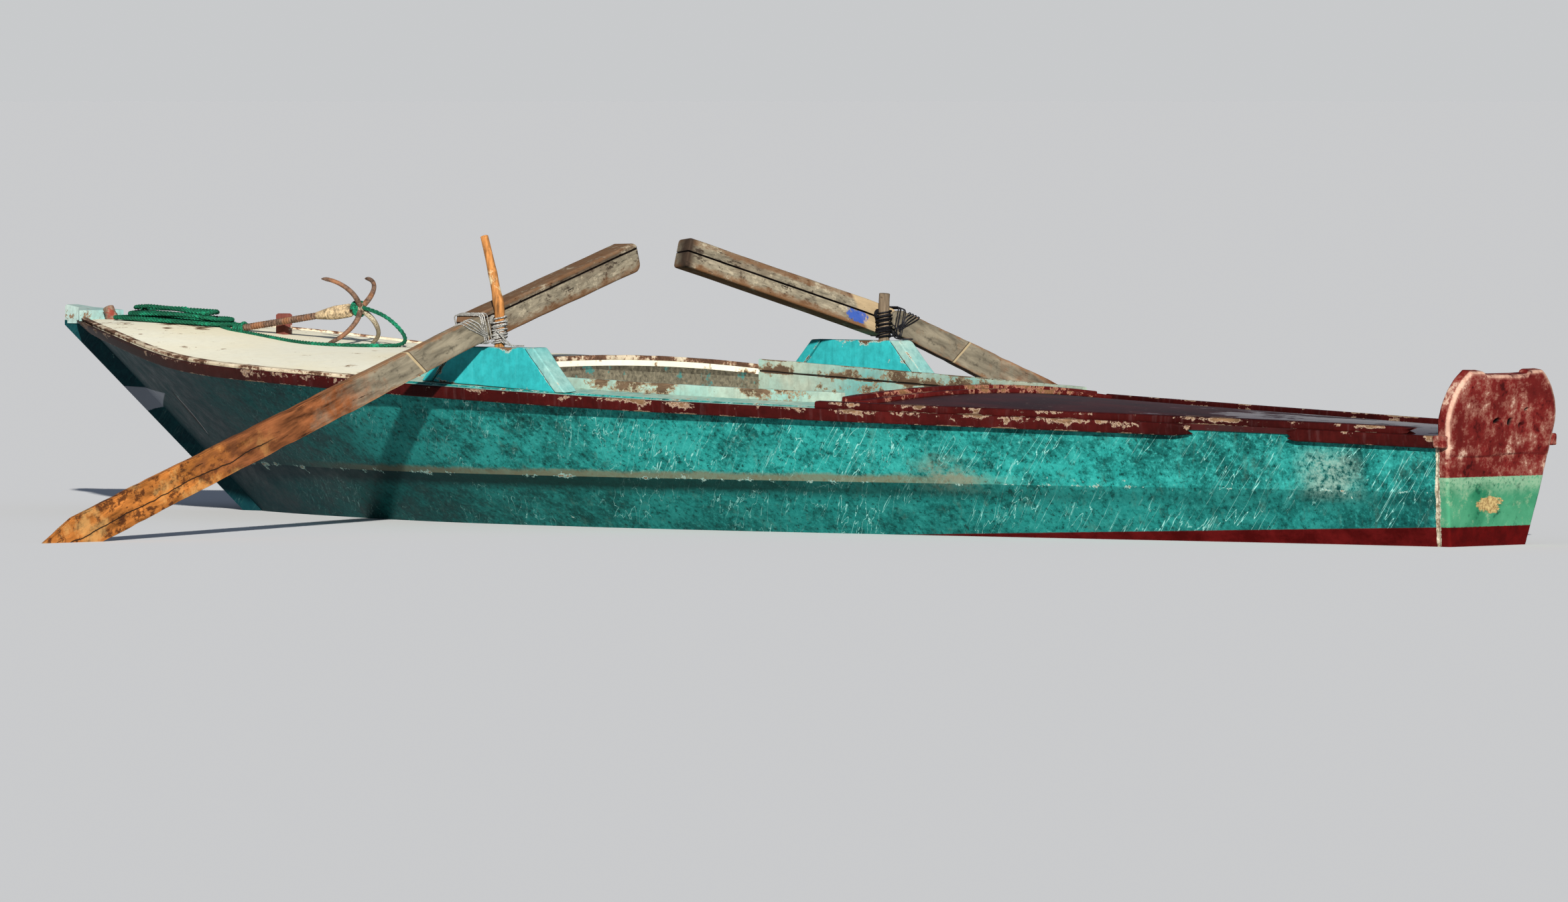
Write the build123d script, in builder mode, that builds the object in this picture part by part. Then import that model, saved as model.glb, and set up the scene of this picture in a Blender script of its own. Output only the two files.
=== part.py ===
from build123d import *
import os
from math import copysign, cos, hypot, pi, radians, sin, tan

# A wooden rowing and fishing boat, afloat. Millimetres, bow toward -X, port side toward -Y,
# +Z up. The origin is on the waterline, amidships.

os.makedirs("parts", exist_ok=True)

# Hull frames from bow to stern. Columns: foot_x is where the frame's plane meets the waterline,
# lean is how many degrees its top leans toward the bow, rail_y and rail_z are the sheer at the
# planking's outer face, chine_y and bilge_y are half breadths, keel_z is the planking's lowest.
FRAMES = [
    # foot_x, lean, rail_y, rail_z, chine_y, bilge_y, keel_z
    (-2423, 54.5, 30, 690, 36, 36, -150),
    (-2250, 42.0, 440, 660, 190, 90, -180),
    (-1819, 24.0, 825, 575, 440, 220, -195),
    (-994, 9.0, 1035, 526, 735, 430, -205),
    (25, 0.0, 990, 478, 770, 500, -205),
    (1125, 0.0, 757, 440, 622, 420, -192),
    (1750, 0.0, 603, 424, 507, 348, -178),
    (2350, 0.0, 460, 409, 390, 274, -160),
    (2890, -4.0, 347, 393, 300, 212, -142),
    (3382, -8.3, 277, 378, 243, 175, -125),
]
# How many lofted sections each gap between frames is cut into
FRAME_STEPS = 3
CHINE_Z = 185
BILGE_Z = -100
PLANK = 22
DECK = 20
CROWN = 0.030

HULL_REACH = 4000
BACKBONE = 60
KEEL_WIDTH = 50
KEEL_DEPTH = 60
STEM_DEPTH = 110
STEM_NOSE = 85
STEM_TOP = 690
HEAD_TOP = 748
HEAD_DROP = 20
HEAD_LENGTH = 165

TRANSOM = 48
TRANSOM_TOP = 590
HORN_RISE = 12
NOTCH_WIDTH = 230

COCKPIT_FORE = -775
COCKPIT_AFT = 1030
SIDE_DECK = 135
COAMING = 24
COAMING_RISE = 38
COAMING_DROP = 75
BULKHEAD = 24

RUB_PROUD = 26
RUB_DEPTH = 42
RUB_LOST_FROM = 2455
RUB_LOST_TO = 2871

EDGE_IN = 3
RAIL_WIDTH = 36
RAIL_RISE = 12
TOE_WIDTH = 34
TOE_RISE = 24
TOE_PORT_END = 3290

FLOOR_Z = -62
FLOOR_BOARD = 18
FLOOR_GAP = 10
FLOOR_HALF = 312
FLOOR_BOARDS = 4
RIB_PLACES = (-560, -120, 320, 760)
RIB_WIDTH = 34
RIB_DEPTH = 44

THWART_X = 430
THWART_WIDTH = 240
THWART = 30
THWART_Z = 300
RISER_WIDTH = 28
RISER_DEPTH = 60

# The thole blocks, and the pins that the oars are lashed to
PIN_Y = 950
BLOCK_X = -342
BLOCK_BASE = 745
BLOCK_CREST = 430
BLOCK_TOP = 641
BLOCK_THICK = 60
BLOCK_BATTEN = 48
BLOCK_FOOT = 479
BATTEN_PROUD = 5
PIN_SINK = 70
# Columns: side, x, radius, height above the block's top, degrees its top leans toward the bow
PINS = [("port", -325, 18, 391, 16.0), ("starboard", -230, 20, 170, -5.0)]

# The oars, measured along their length from the thole pin, outboard positive. The loom slopes
# less than the blade, and splays toward the bow inboard of its bend.
OAR_Z = 735
BLADE_SLOPE = 19.0
LOOM_SLOPE = 15.3
LOOM_SPLAY = 6.0
LOOM_INBOARD = 920
LOOM_OUTBOARD = 105
LOOM_WIDTH = 90
LOOM_BEND = 60
PIN_STANDOFF = 36
BLADE_START = 60
BLADE_LENGTH = 2500
BLADE_THICK = 38
BLADE_ROOT = 92
BLADE_WAIST = 106
BLADE_WAIST_AT = 700
BLADE_TIP = 130
BLADE_POINT = 190
LASH_AT = 64
LASH_WIDTH = 36
LASH_THICK = 5
STROP_RADIUS = 30
STROP_RISE = 118
STROP_BOSS = 22

# Gear on the foredeck
PEG_X = -3238
PEG_RADIUS = 21
PEG_FOOT_RADIUS = 24
PEG_FOOT = 44
PEG_RISE = 78
PEG_LEAN = 28
POST_X = -2400
POST_Y = 50
POST_SIDE = 42
POST_RISE = 125
ANCHOR_CROWN = (-1950, -10, 747.5)
ANCHOR_EYE = (-2560, -40, 666.8)
SHANK_RADIUS = 10
HUB_RADIUS = 21
HUB_LENGTH = 36
BUNDLE_RADIUS = 22
BUNDLE_FROM = 40
BUNDLE_LENGTH = 170
FLUKE_RADIUS = 8
# A fluke's bow and tip, as the distances past the crown and out from the shank
FLUKE_BOW = (16, 98)
FLUKE_TIP = (-66, 168)
ROPE = 16
HANK_FORE = -3212
HANK_AFT = -2590
HANK_HALF = 105
HANK_RISE = 44
# The rope's tail, from inside the hank along the deck and up to the anchor's crown
TAIL = [
    (-2650, -70, 673.8),
    (-2560, -88, 666.1),
    (-2455, -99, 656.7),
    (-2350, -120, 647.0),
    (-2240, -149, 637.4),
    (-2130, -180, 629.1),
    (-2025, -198, 622.7),
    (-1925, -190, 618.6),
    (-1840, -150, 616.5),
    (-1776, -82, 615.4),
    (-1748, 5, 615.0),
    (-1772, 56, 640.0),
    (-1818, 48, 690.0),
    (-1866, 10, 735.0),
    (-1934, -9, 752.0),
]
TAIL_BEND = 0.45
CLEAR = 0.3


def rail_x(frame):
    return frame[0] - frame[3] * tan(radians(frame[1]))


def filled_in(rows, steps):
    """The frames with more set between them, on smooth curves through every column."""
    at = [0]
    for a, b in zip(rows, rows[1:]):
        at.append(at[-1] + hypot(rail_x(b) - rail_x(a), b[2] - a[2]))
    chords = [[(v - u) / (t - s) for u, v in zip(a, b)]
              for a, b, s, t in zip(rows, rows[1:], at, at[1:])]
    slopes = [[(p * (t - s) + q * (s - r)) / (t - r) for p, q in zip(before, after)]
              for before, after, r, s, t in zip(chords, chords[1:], at, at[1:], at[2:])]
    slopes.insert(0, [2 * c - m for c, m in zip(chords[0], slopes[0])])
    slopes.append([2 * c - m for c, m in zip(chords[-1], slopes[-1])])
    filled = []
    for i, (a, b) in enumerate(zip(rows, rows[1:])):
        length = at[i + 1] - at[i]
        for w in [step / steps for step in range(steps)]:
            filled.append([
                u * (2 * w ** 3 - 3 * w ** 2 + 1) + v * (3 * w ** 2 - 2 * w ** 3)
                + length * (m * (w ** 3 - 2 * w ** 2 + w) + n * (w ** 3 - w ** 2))
                for u, v, m, n in zip(a, b, slopes[i], slopes[i + 1])
            ])
    return filled + [list(rows[-1])]


STATIONS = filled_in(FRAMES, FRAME_STEPS)


def frame_plane(frame):
    """The frame's own plane, leaning fore or aft, with its first axis to starboard."""
    foot_x, lean = frame[0], radians(frame[1])
    return Plane(origin=(foot_x, 0, 0), x_dir=(0, 1, 0), z_dir=(cos(lean), 0, sin(lean)))


def on_frame(frame, points):
    """Turn (y, z) points into the frame plane's own coordinates."""
    return [(y, z / cos(radians(frame[1]))) for y, z in points]


def half_outline(frame):
    """The planking's outer face on the starboard side, from rail to keel, as (y, z)."""
    _, _, rail_y, rail_z, chine_y, bilge_y, keel_z = frame
    return [(rail_y, rail_z), (chine_y, CHINE_Z), (bilge_y, BILGE_Z), (BACKBONE / 2, keel_z)]


def moved_line(start, end, inward):
    """A line through start and end, moved inboard: a point on it, and its direction."""
    dy, dz = end[0] - start[0], end[1] - start[1]
    size = hypot(dy, dz)
    return (start[0] + dz / size * inward, start[1] - dy / size * inward), (dy, dz)


def crossing(line_a, line_b):
    """Where two lines cross, each a point and a direction."""
    (ay, az), (ady, adz) = line_a
    (by, bz), (bdy, bdz) = line_b
    spread = ady * bdz - adz * bdy
    if abs(spread) < 1:
        return (by, bz)
    along = ((by - ay) * bdz - (bz - az) * bdy) / spread
    return (ay + ady * along, az + adz * along)


def inner_outline(frame, inward):
    """The outline moved inboard by a thickness, and carried up past the deck."""
    outer = half_outline(frame)
    floor = (-outer[-1][0], outer[-1][1])
    lines = [moved_line(a, b, inward) for a, b in zip(outer, outer[1:] + [floor])]
    (y, z), (dy, dz) = lines[0]
    lift = (outer[0][1] + CROWN * 2 * outer[0][0] + DECK + PLANK - z) / dz
    top = (y + dy * lift, z + dz * lift)
    return [top] + [crossing(a, b) for a, b in zip(lines, lines[1:])]


def mirrored(points):
    return [(-y, z) for y, z in reversed(points)]


def hull_volume(inward=0, frames=STATIONS):
    """The hull as one solid, with a crowned deck, or the space that far inside its outer face."""
    with BuildPart() as volume:
        for frame in frames:
            with BuildSketch(frame_plane(frame)):
                with BuildLine():
                    if inward:
                        half = on_frame(frame, inner_outline(frame, inward))
                        Polyline(*half, *mirrored(half), close=True)
                    else:
                        half = on_frame(frame, half_outline(frame))
                        crown = (0, half[0][1] + CROWN * 2 * half[0][0])
                        Polyline(*half, *mirrored(half))
                        ThreePointArc(mirrored(half)[-1], crown, half[0])
                make_face()
        loft()
    return volume.part


def strip_along(side, section):
    """A strip carried along every frame; section gives its (y, z) corners at a frame."""
    with BuildPart() as strip:
        for frame in STATIONS:
            with BuildSketch(frame_plane(frame)):
                with BuildLine():
                    Polyline(*[(side * y, z) for y, z in on_frame(frame, section(frame))], close=True)
                make_face()
        loft()
    return strip.part


def slab(x_from=-HULL_REACH, x_to=HULL_REACH, y_from=-HULL_REACH, y_to=HULL_REACH,
         z_from=-HULL_REACH, z_to=HULL_REACH):
    """A box between six limits, for cutting pieces to length."""
    with Locations(((x_from + x_to) / 2, (y_from + y_to) / 2, (z_from + z_to) / 2)):
        return Box(x_to - x_from, y_to - y_from, z_to - z_from, mode=Mode.PRIVATE)


def save(piece, label):
    piece.label = label
    export_step(piece, f"parts/{label}.step")


HULL = hull_volume()
SPACE = hull_volume(PLANK)
UNDER_DECK = HULL.moved(Location((0, 0, -DECK)))
SIDES = {"port": -1, "starboard": 1}


def side_slab(side):
    """Everything to one side of the middle line."""
    return slab(y_to=0) if side < 0 else slab(y_from=0)


# Planking: a topside, a lower strake and a garboard on each side
with BuildPart() as shell:
    add(HULL)
    add(UNDER_DECK, mode=Mode.INTERSECT)
    add(SPACE, mode=Mode.SUBTRACT)

# The lower strakes are butted at the cockpit's bulkheads
BUTT_FORE, BUTT_AFT = COCKPIT_FORE - BULKHEAD, COCKPIT_AFT + BULKHEAD
STRAKES = [
    # name, from z, to z, from x, to x
    ("topside", CHINE_Z, HULL_REACH, -HULL_REACH, HULL_REACH),
    ("lower_strake_fore", BILGE_Z, CHINE_Z, -HULL_REACH, BUTT_FORE),
    ("lower_strake", BILGE_Z, CHINE_Z, BUTT_FORE, BUTT_AFT),
    ("lower_strake_aft", BILGE_Z, CHINE_Z, BUTT_AFT, HULL_REACH),
    ("garboard", -HULL_REACH, BILGE_Z, -HULL_REACH, HULL_REACH),
]
for side_name, side in SIDES.items():
    for strake_name, z_low, z_high, x_low, x_high in STRAKES:
        with BuildPart() as strake:
            add(shell.part)
            add(side_slab(side), mode=Mode.INTERSECT)
            add(slab(x_from=x_low, x_to=x_high, z_from=z_low, z_to=z_high), mode=Mode.INTERSECT)
        save(strake.part, f"{side_name}_{strake_name}")

# Backbone: keel and raked stem
def keel_section(frame):
    keel_z = frame[6]
    half = KEEL_WIDTH / 2
    return [(-half, keel_z + PLANK), (half, keel_z + PLANK),
            (half, keel_z - KEEL_DEPTH), (-half, keel_z - KEEL_DEPTH)]


with BuildPart() as keel:
    add(strip_along(1, keel_section))
    add(HULL, mode=Mode.SUBTRACT)
save(keel.part, "keel")

stem_foot, stem_lean = FRAMES[0][0], tan(radians(FRAMES[0][1]))
stem_heel_z = FRAMES[0][6] - KEEL_DEPTH


def stem_face(z, forward=0):
    """A point on the planks' forward ends, or that far ahead of them."""
    return (stem_foot - z * stem_lean - forward, z)


stem_nose_x = stem_face(STEM_TOP, STEM_NOSE)[0]
with BuildPart() as stem:
    with BuildSketch(Plane.XZ):
        with BuildLine():
            Polyline(
                stem_face(STEM_TOP), stem_face(stem_heel_z), stem_face(stem_heel_z, STEM_DEPTH / 3),
                stem_face(BILGE_Z, STEM_DEPTH),
                (stem_nose_x, (stem_foot - STEM_DEPTH - stem_nose_x) / stem_lean),
                (stem_nose_x, STEM_TOP), close=True,
            )
        make_face()
    extrude(amount=BACKBONE / 2, both=True)
save(stem.part, "stem")

# Transom: one thick board that stands far above the deck, with rounded shoulders and a low notch
stern = FRAMES[-1]
SHOULDER_Z = 430
SHOULDER_Y = 286
HORN_Y = 190
stern_edge = half_outline(stern)
with BuildPart() as transom:
    with BuildSketch(frame_plane(stern)):
        with BuildLine():
            rail, chine, bilge, foot = on_frame(stern, stern_edge)
            heel = on_frame(stern, [(BACKBONE / 2, stern[6] - KEEL_DEPTH)])[0]
            shoulder, bend, horn, notch = on_frame(stern, [
                (SHOULDER_Y, SHOULDER_Z), (SHOULDER_Y - 28, TRANSOM_TOP - 62),
                (HORN_Y, TRANSOM_TOP + HORN_RISE), (NOTCH_WIDTH / 2, TRANSOM_TOP),
            ])
            Polyline(shoulder, rail, chine, bilge, foot, heel,
                     (-heel[0], heel[1]), (-foot[0], foot[1]), (-bilge[0], bilge[1]),
                     (-chine[0], chine[1]), (-rail[0], rail[1]), (-shoulder[0], shoulder[1]))
            ThreePointArc(shoulder, bend, horn)
            ThreePointArc((-shoulder[0], shoulder[1]), (-bend[0], bend[1]), (-horn[0], horn[1]))
            Polyline(horn, notch, (-notch[0], notch[1]), (-horn[0], horn[1]))
        make_face()
    extrude(amount=TRANSOM)
save(transom.part, "transom")

# Decks: one crowned sheet of planks, cut into foredeck, side decks and aft deck
def opening_half(x):
    """Half breadth of the cockpit opening, to the coaming's outer face."""
    fore, aft = FRAMES[3], FRAMES[5]
    middle = FRAMES[4]
    if x < middle[0]:
        share = (x - fore[0]) / (middle[0] - fore[0])
        return fore[2] + (middle[2] - fore[2]) * share - SIDE_DECK
    share = (x - middle[0]) / (aft[0] - middle[0])
    return middle[2] + (aft[2] - middle[2]) * share - SIDE_DECK


def cockpit_well(inward=0):
    """The cockpit's plan, straight across at both ends and bowed along its sides."""
    middle_x = (COCKPIT_FORE + COCKPIT_AFT) / 2
    corners = [(COCKPIT_FORE, opening_half(COCKPIT_FORE) - inward),
               (middle_x, opening_half(middle_x) - inward),
               (COCKPIT_AFT, opening_half(COCKPIT_AFT) - inward)]
    with BuildPart() as well:
        with BuildSketch(Plane.XY.offset(-HULL_REACH / 2)):
            with BuildLine():
                ThreePointArc(*corners)
                ThreePointArc(*[(x, -y) for x, y in corners])
                Line(corners[0], (corners[0][0], -corners[0][1]))
                Line(corners[2], (corners[2][0], -corners[2][1]))
            make_face()
        extrude(amount=HULL_REACH)
    return well.part


WELL = cockpit_well()
WELL_INSIDE = cockpit_well(COAMING)

with BuildPart() as deck_layer:
    add(HULL)
    add(UNDER_DECK, mode=Mode.SUBTRACT)
    add(WELL, mode=Mode.SUBTRACT)

with BuildPart() as foredeck:
    add(deck_layer.part)
    add(slab(x_to=COCKPIT_FORE), mode=Mode.INTERSECT)
save(foredeck.part, "foredeck")

with BuildPart() as aft_deck:
    add(deck_layer.part)
    add(slab(x_from=COCKPIT_AFT), mode=Mode.INTERSECT)
save(aft_deck.part, "aft_deck")

for side_name, side in SIDES.items():
    with BuildPart() as side_deck:
        add(deck_layer.part)
        add(slab(x_from=COCKPIT_FORE, x_to=COCKPIT_AFT), mode=Mode.INTERSECT)
        add(side_slab(side), mode=Mode.INTERSECT)
    save(side_deck.part, f"{side_name}_side_deck")

    with BuildPart() as coaming:
        add(HULL.moved(Location((0, 0, COAMING_RISE))))
        add(HULL.moved(Location((0, 0, -COAMING_DROP))), mode=Mode.SUBTRACT)
        add(WELL, mode=Mode.INTERSECT)
        add(WELL_INSIDE, mode=Mode.SUBTRACT)
        add(side_slab(side), mode=Mode.INTERSECT)
    save(coaming.part, f"{side_name}_coaming")

# Bulkheads that close the cockpit's ends under the decks
for label, x_from in (("fore_bulkhead", COCKPIT_FORE - BULKHEAD), ("aft_bulkhead", COCKPIT_AFT)):
    with BuildPart() as bulkhead:
        add(slab(x_from=x_from, x_to=x_from + BULKHEAD))
        add(SPACE, mode=Mode.INTERSECT)
        add(UNDER_DECK, mode=Mode.INTERSECT)
    save(bulkhead.part, label)

# Rub strakes outside the sheer; a length of the port one has broken away
def rub_section(frame):
    rail_y, rail_z = frame[2], frame[3]
    return [(rail_y + RUB_PROUD, rail_z), (rail_y + RUB_PROUD - 5, rail_z - RUB_DEPTH),
            (rail_y - PLANK, rail_z - RUB_DEPTH), (rail_y - PLANK, rail_z)]


RUBS = [
    # label, side, from x, to x
    ("port_rub_strake", -1, -HULL_REACH, RUB_LOST_FROM),
    ("port_rub_strake_stub", -1, RUB_LOST_TO, HULL_REACH),
    ("starboard_rub_strake", 1, -HULL_REACH, HULL_REACH),
]
rub_strakes = []
for label, side, x_from, x_to in RUBS:
    with BuildPart() as rub:
        add(strip_along(side, rub_section))
        add(HULL, mode=Mode.SUBTRACT)
        add(slab(x_from=x_from, x_to=x_to), mode=Mode.INTERSECT)
        add(side_slab(side), mode=Mode.INTERSECT)
        add(stem.part, mode=Mode.SUBTRACT)
    save(rub.part, label)
    rub_strakes.append(rub.part)

# The bow's solid head, over the stem and the strakes' ends
with BuildPart() as stem_head:
    with BuildSketch(Plane.XZ):
        with BuildLine():
            Polyline(
                (stem_nose_x, STEM_TOP - 40), (stem_nose_x, HEAD_TOP - 8),
                (stem_nose_x + 8, HEAD_TOP), (stem_nose_x + HEAD_LENGTH, HEAD_TOP - HEAD_DROP),
                (stem_nose_x + HEAD_LENGTH, STEM_TOP - 40), close=True,
            )
        make_face()
    extrude(amount=HEAD_LENGTH, both=True)
    with BuildSketch(Plane.XY.offset(STEM_TOP - 40)):
        with BuildLine():
            Polyline(
                (stem_nose_x, -28), (stem_nose_x, 28), (stem_nose_x + 85, 40),
                (stem_nose_x + HEAD_LENGTH, 115), (stem_nose_x + HEAD_LENGTH, -115),
                (stem_nose_x + 85, -40), close=True,
            )
        make_face()
    extrude(amount=HEAD_LENGTH, mode=Mode.INTERSECT)
    add(HULL, mode=Mode.SUBTRACT)
    add(stem.part, mode=Mode.SUBTRACT)
    for strake in rub_strakes:
        add(strake, mode=Mode.SUBTRACT)
    add(slab(z_from=STEM_TOP - 12), mode=Mode.INTERSECT)
save(stem_head.part, "stem_head")

# Low rails round the foredeck, and toe rails along the aft deck
def edge_rail(width, rise):
    """A section on the deck's edge, that wide and rising that far above the sheer."""
    def section(frame):
        rail_y, rail_z = frame[2] - EDGE_IN, frame[3]
        inner_y = max(rail_y - width, rail_y / 2)
        return [(rail_y, rail_z), (rail_y, rail_z + rise),
                (inner_y, rail_z + rise + EDGE_IN), (inner_y, rail_z - DECK / 2)]
    return section


head_end = stem_nose_x + HEAD_LENGTH
EDGES = [
    # label, side, section, from x, to x
    ("port_fore_rail", -1, edge_rail(RAIL_WIDTH, RAIL_RISE), head_end, COCKPIT_FORE),
    ("starboard_fore_rail", 1, edge_rail(RAIL_WIDTH, RAIL_RISE), head_end, COCKPIT_FORE),
    ("port_toe_rail", -1, edge_rail(TOE_WIDTH, TOE_RISE), COCKPIT_AFT, TOE_PORT_END),
    ("starboard_toe_rail", 1, edge_rail(TOE_WIDTH, TOE_RISE), COCKPIT_AFT, HULL_REACH),
]
for label, side, section, x_from, x_to in EDGES:
    with BuildPart() as edge:
        add(strip_along(side, section))
        add(HULL, mode=Mode.SUBTRACT)
        add(slab(x_from=x_from, x_to=x_to), mode=Mode.INTERSECT)
        add(slab(z_from=0), mode=Mode.INTERSECT)
    save(edge.part, label)

# Inside the cockpit: floor timbers and ribs, floorboards, and a thwart on its risers
MIDBODY = STATIONS[2 * FRAME_STEPS:-FRAME_STEPS]
RIB_FACE = hull_volume(PLANK + RIB_DEPTH, MIDBODY)
RISER_FACE = hull_volume(PLANK + RIB_DEPTH + RISER_WIDTH, MIDBODY)

with BuildPart() as rib_rings:
    for rib_x in RIB_PLACES:
        add(slab(x_from=rib_x, x_to=rib_x + RIB_WIDTH))
    add(SPACE, mode=Mode.INTERSECT)
    add(UNDER_DECK, mode=Mode.INTERSECT)

with BuildPart() as floor_timbers:
    add(rib_rings.part)
    add(slab(z_to=FLOOR_Z), mode=Mode.INTERSECT)
save(floor_timbers.part, "floor_timbers")

with BuildPart() as ribs:
    add(rib_rings.part)
    add(slab(z_from=FLOOR_Z), mode=Mode.INTERSECT)
    add(RIB_FACE, mode=Mode.SUBTRACT)
save(ribs.part, "ribs")

board_width = (2 * FLOOR_HALF - (FLOOR_BOARDS - 1) * FLOOR_GAP) / FLOOR_BOARDS
with BuildPart() as floorboards:
    for number in range(FLOOR_BOARDS):
        low_y = -FLOOR_HALF + number * (board_width + FLOOR_GAP)
        add(slab(COCKPIT_FORE, COCKPIT_AFT, low_y, low_y + board_width, FLOOR_Z, FLOOR_Z + FLOOR_BOARD))
save(floorboards.part, "floorboards")

for side_name, side in SIDES.items():
    with BuildPart() as riser:
        add(slab(x_from=COCKPIT_FORE, x_to=COCKPIT_AFT, z_from=THWART_Z - RISER_DEPTH, z_to=THWART_Z))
        add(RIB_FACE, mode=Mode.INTERSECT)
        add(RISER_FACE, mode=Mode.SUBTRACT)
        add(side_slab(side), mode=Mode.INTERSECT)
    save(riser.part, f"{side_name}_riser")

with BuildPart() as thwart:
    add(slab(x_from=THWART_X, x_to=THWART_X + THWART_WIDTH, z_from=THWART_Z, z_to=THWART_Z + THWART))
    add(SPACE, mode=Mode.INTERSECT)
save(thwart.part, "thwart")

# Thole blocks: a board on edge with sloping ends, each end faced with a batten
half_base, half_crest = BLOCK_BASE / 2, BLOCK_CREST / 2


def block_profile(from_x, to_x):
    """A sloping slice of the block's side, between two distances from its middle at the crest."""
    lean_out = half_base - half_crest
    return [(BLOCK_X + from_x, BLOCK_TOP), (BLOCK_X + to_x, BLOCK_TOP),
            (BLOCK_X + to_x + copysign(lean_out, to_x), BLOCK_FOOT),
            (BLOCK_X + from_x + copysign(lean_out, from_x), BLOCK_FOOT)]


for side_name, pin_x, pin_radius, _, _ in PINS:
    side = SIDES[side_name]
    with BuildPart() as block:
        with BuildSketch(Plane.XZ.offset(-side * PIN_Y)):
            with BuildLine():
                Polyline(*block_profile(-half_crest, half_crest), close=True)
            make_face()
        extrude(amount=BLOCK_THICK / 2, both=True)
        with BuildSketch(Plane.XZ.offset(-side * PIN_Y)):
            for end in (-1, 1):
                with BuildLine():
                    Polyline(*block_profile(end * (half_crest - BLOCK_BATTEN), end * half_crest), close=True)
                make_face()
        extrude(amount=BLOCK_THICK / 2 + BATTEN_PROUD, both=True)
        add(HULL, mode=Mode.SUBTRACT)
        with Locations((pin_x, side * PIN_Y, BLOCK_TOP - PIN_SINK / 2)):
            Cylinder(pin_radius, PIN_SINK, mode=Mode.SUBTRACT)
    save(block.part, f"{side_name}_thole_block")

for side_name, pin_x, radius, rise, lean in PINS:
    side = SIDES[side_name]
    bend_z = BLOCK_TOP + STROP_RISE + radius
    top_z = BLOCK_TOP + rise
    with BuildPart() as pin:
        with BuildLine() as stick:
            FilletPolyline(
                (pin_x, side * PIN_Y, BLOCK_TOP - PIN_SINK),
                (pin_x, side * PIN_Y, bend_z),
                (pin_x - (top_z - bend_z) * tan(radians(lean)), side * PIN_Y, top_z),
                radius=radius * 6,
            )
        with BuildSketch(Plane(origin=(pin_x, side * PIN_Y, BLOCK_TOP - PIN_SINK))):
            Circle(radius)
        sweep(path=stick.line)
    save(pin.part, f"{side_name}_thole_pin")

# The oars. Each is a loom of two heavy boards, one on the other, with a long plank for its blade
# nailed to the loom's aft face and a strop that holds it to its pin. They are drawn to port,
# with the pin at x 0.
pivot = (0, -PIN_Y, OAR_Z)
splay = radians(LOOM_SPLAY)


def outboard(slope):
    """The direction down an oar that slopes this many degrees."""
    return (0, -cos(radians(slope)), -sin(radians(slope)))


loom_top = Plane(origin=pivot, x_dir=outboard(LOOM_SLOPE), z_dir=outboard(LOOM_SLOPE - 90))
loom_side = Plane(origin=pivot, x_dir=outboard(LOOM_SLOPE), z_dir=(-1, 0, 0))
blade_side = Plane(origin=pivot, x_dir=outboard(BLADE_SLOPE), z_dir=(-1, 0, 0))

loom_run = (LOOM_INBOARD - LOOM_BEND) / cos(splay)
loom_end = (-LOOM_INBOARD, -PIN_STANDOFF - loom_run * sin(splay))
loom_corner = (loom_end[0] + LOOM_WIDTH * sin(splay), loom_end[1] - LOOM_WIDTH * cos(splay))
outer_width = LOOM_WIDTH / cos(splay) - (LOOM_OUTBOARD + LOOM_BEND) * tan(splay)
LOOM_PLAN = [(LOOM_OUTBOARD, -PIN_STANDOFF), (-LOOM_BEND, -PIN_STANDOFF), loom_end, loom_corner,
             (LOOM_OUTBOARD, -PIN_STANDOFF - outer_width)]
BOARDS = [
    # name, thickness, side of the split, axis that finds the edge to round, its radius
    ("upper", 42, 1, Axis.Y, 24),
    ("lower", 64, -1, Axis.Z, 46),
]
board_upper, board_lower = BOARDS[0][1], BOARDS[1][1]


def save_oar_piece(part, label):
    """Save a piece of the port oar, and its mirror image for the starboard one."""
    for side_name, pin_x, _, _, _ in PINS:
        piece = part if side_name == "port" else mirror(part, about=Plane.XZ)
        save(piece.moved(Location((pin_x, 0, 0))), f"{side_name}_{label}")


loom_boards = []
for label, thick, above, end_axis, end_radius in BOARDS:
    with BuildPart() as board:
        with BuildSketch(loom_top):
            with BuildLine():
                Polyline(*LOOM_PLAN, close=True)
            make_face()
        extrude(amount=above * thick)
        fillet(board.edges().sort_by(end_axis)[0], end_radius)
    save_oar_piece(board.part, f"loom_{label}")
    loom_boards.append(board.part)

root_x = BLADE_START + BLADE_ROOT / 2
tip_x = BLADE_START + BLADE_LENGTH
with BuildPart() as blade:
    with BuildSketch(blade_side.offset(PIN_STANDOFF - BLADE_THICK)):
        with BuildLine():
            upper = [(root_x, BLADE_ROOT / 2), (BLADE_WAIST_AT, BLADE_WAIST / 2),
                     (tip_x - BLADE_POINT * 2, BLADE_TIP / 2), (tip_x, -BLADE_TIP / 6)]
            lower = [(tip_x, -BLADE_TIP / 6), (tip_x - BLADE_POINT, -BLADE_TIP / 2),
                     (BLADE_WAIST_AT, -BLADE_WAIST / 2), (root_x, -BLADE_ROOT / 2)]
            Polyline(*upper)
            Polyline(*lower)
            ThreePointArc(lower[-1], (BLADE_START, 0), upper[0])
        make_face()
    extrude(amount=BLADE_THICK)
save_oar_piece(blade.part, "blade")

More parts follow.
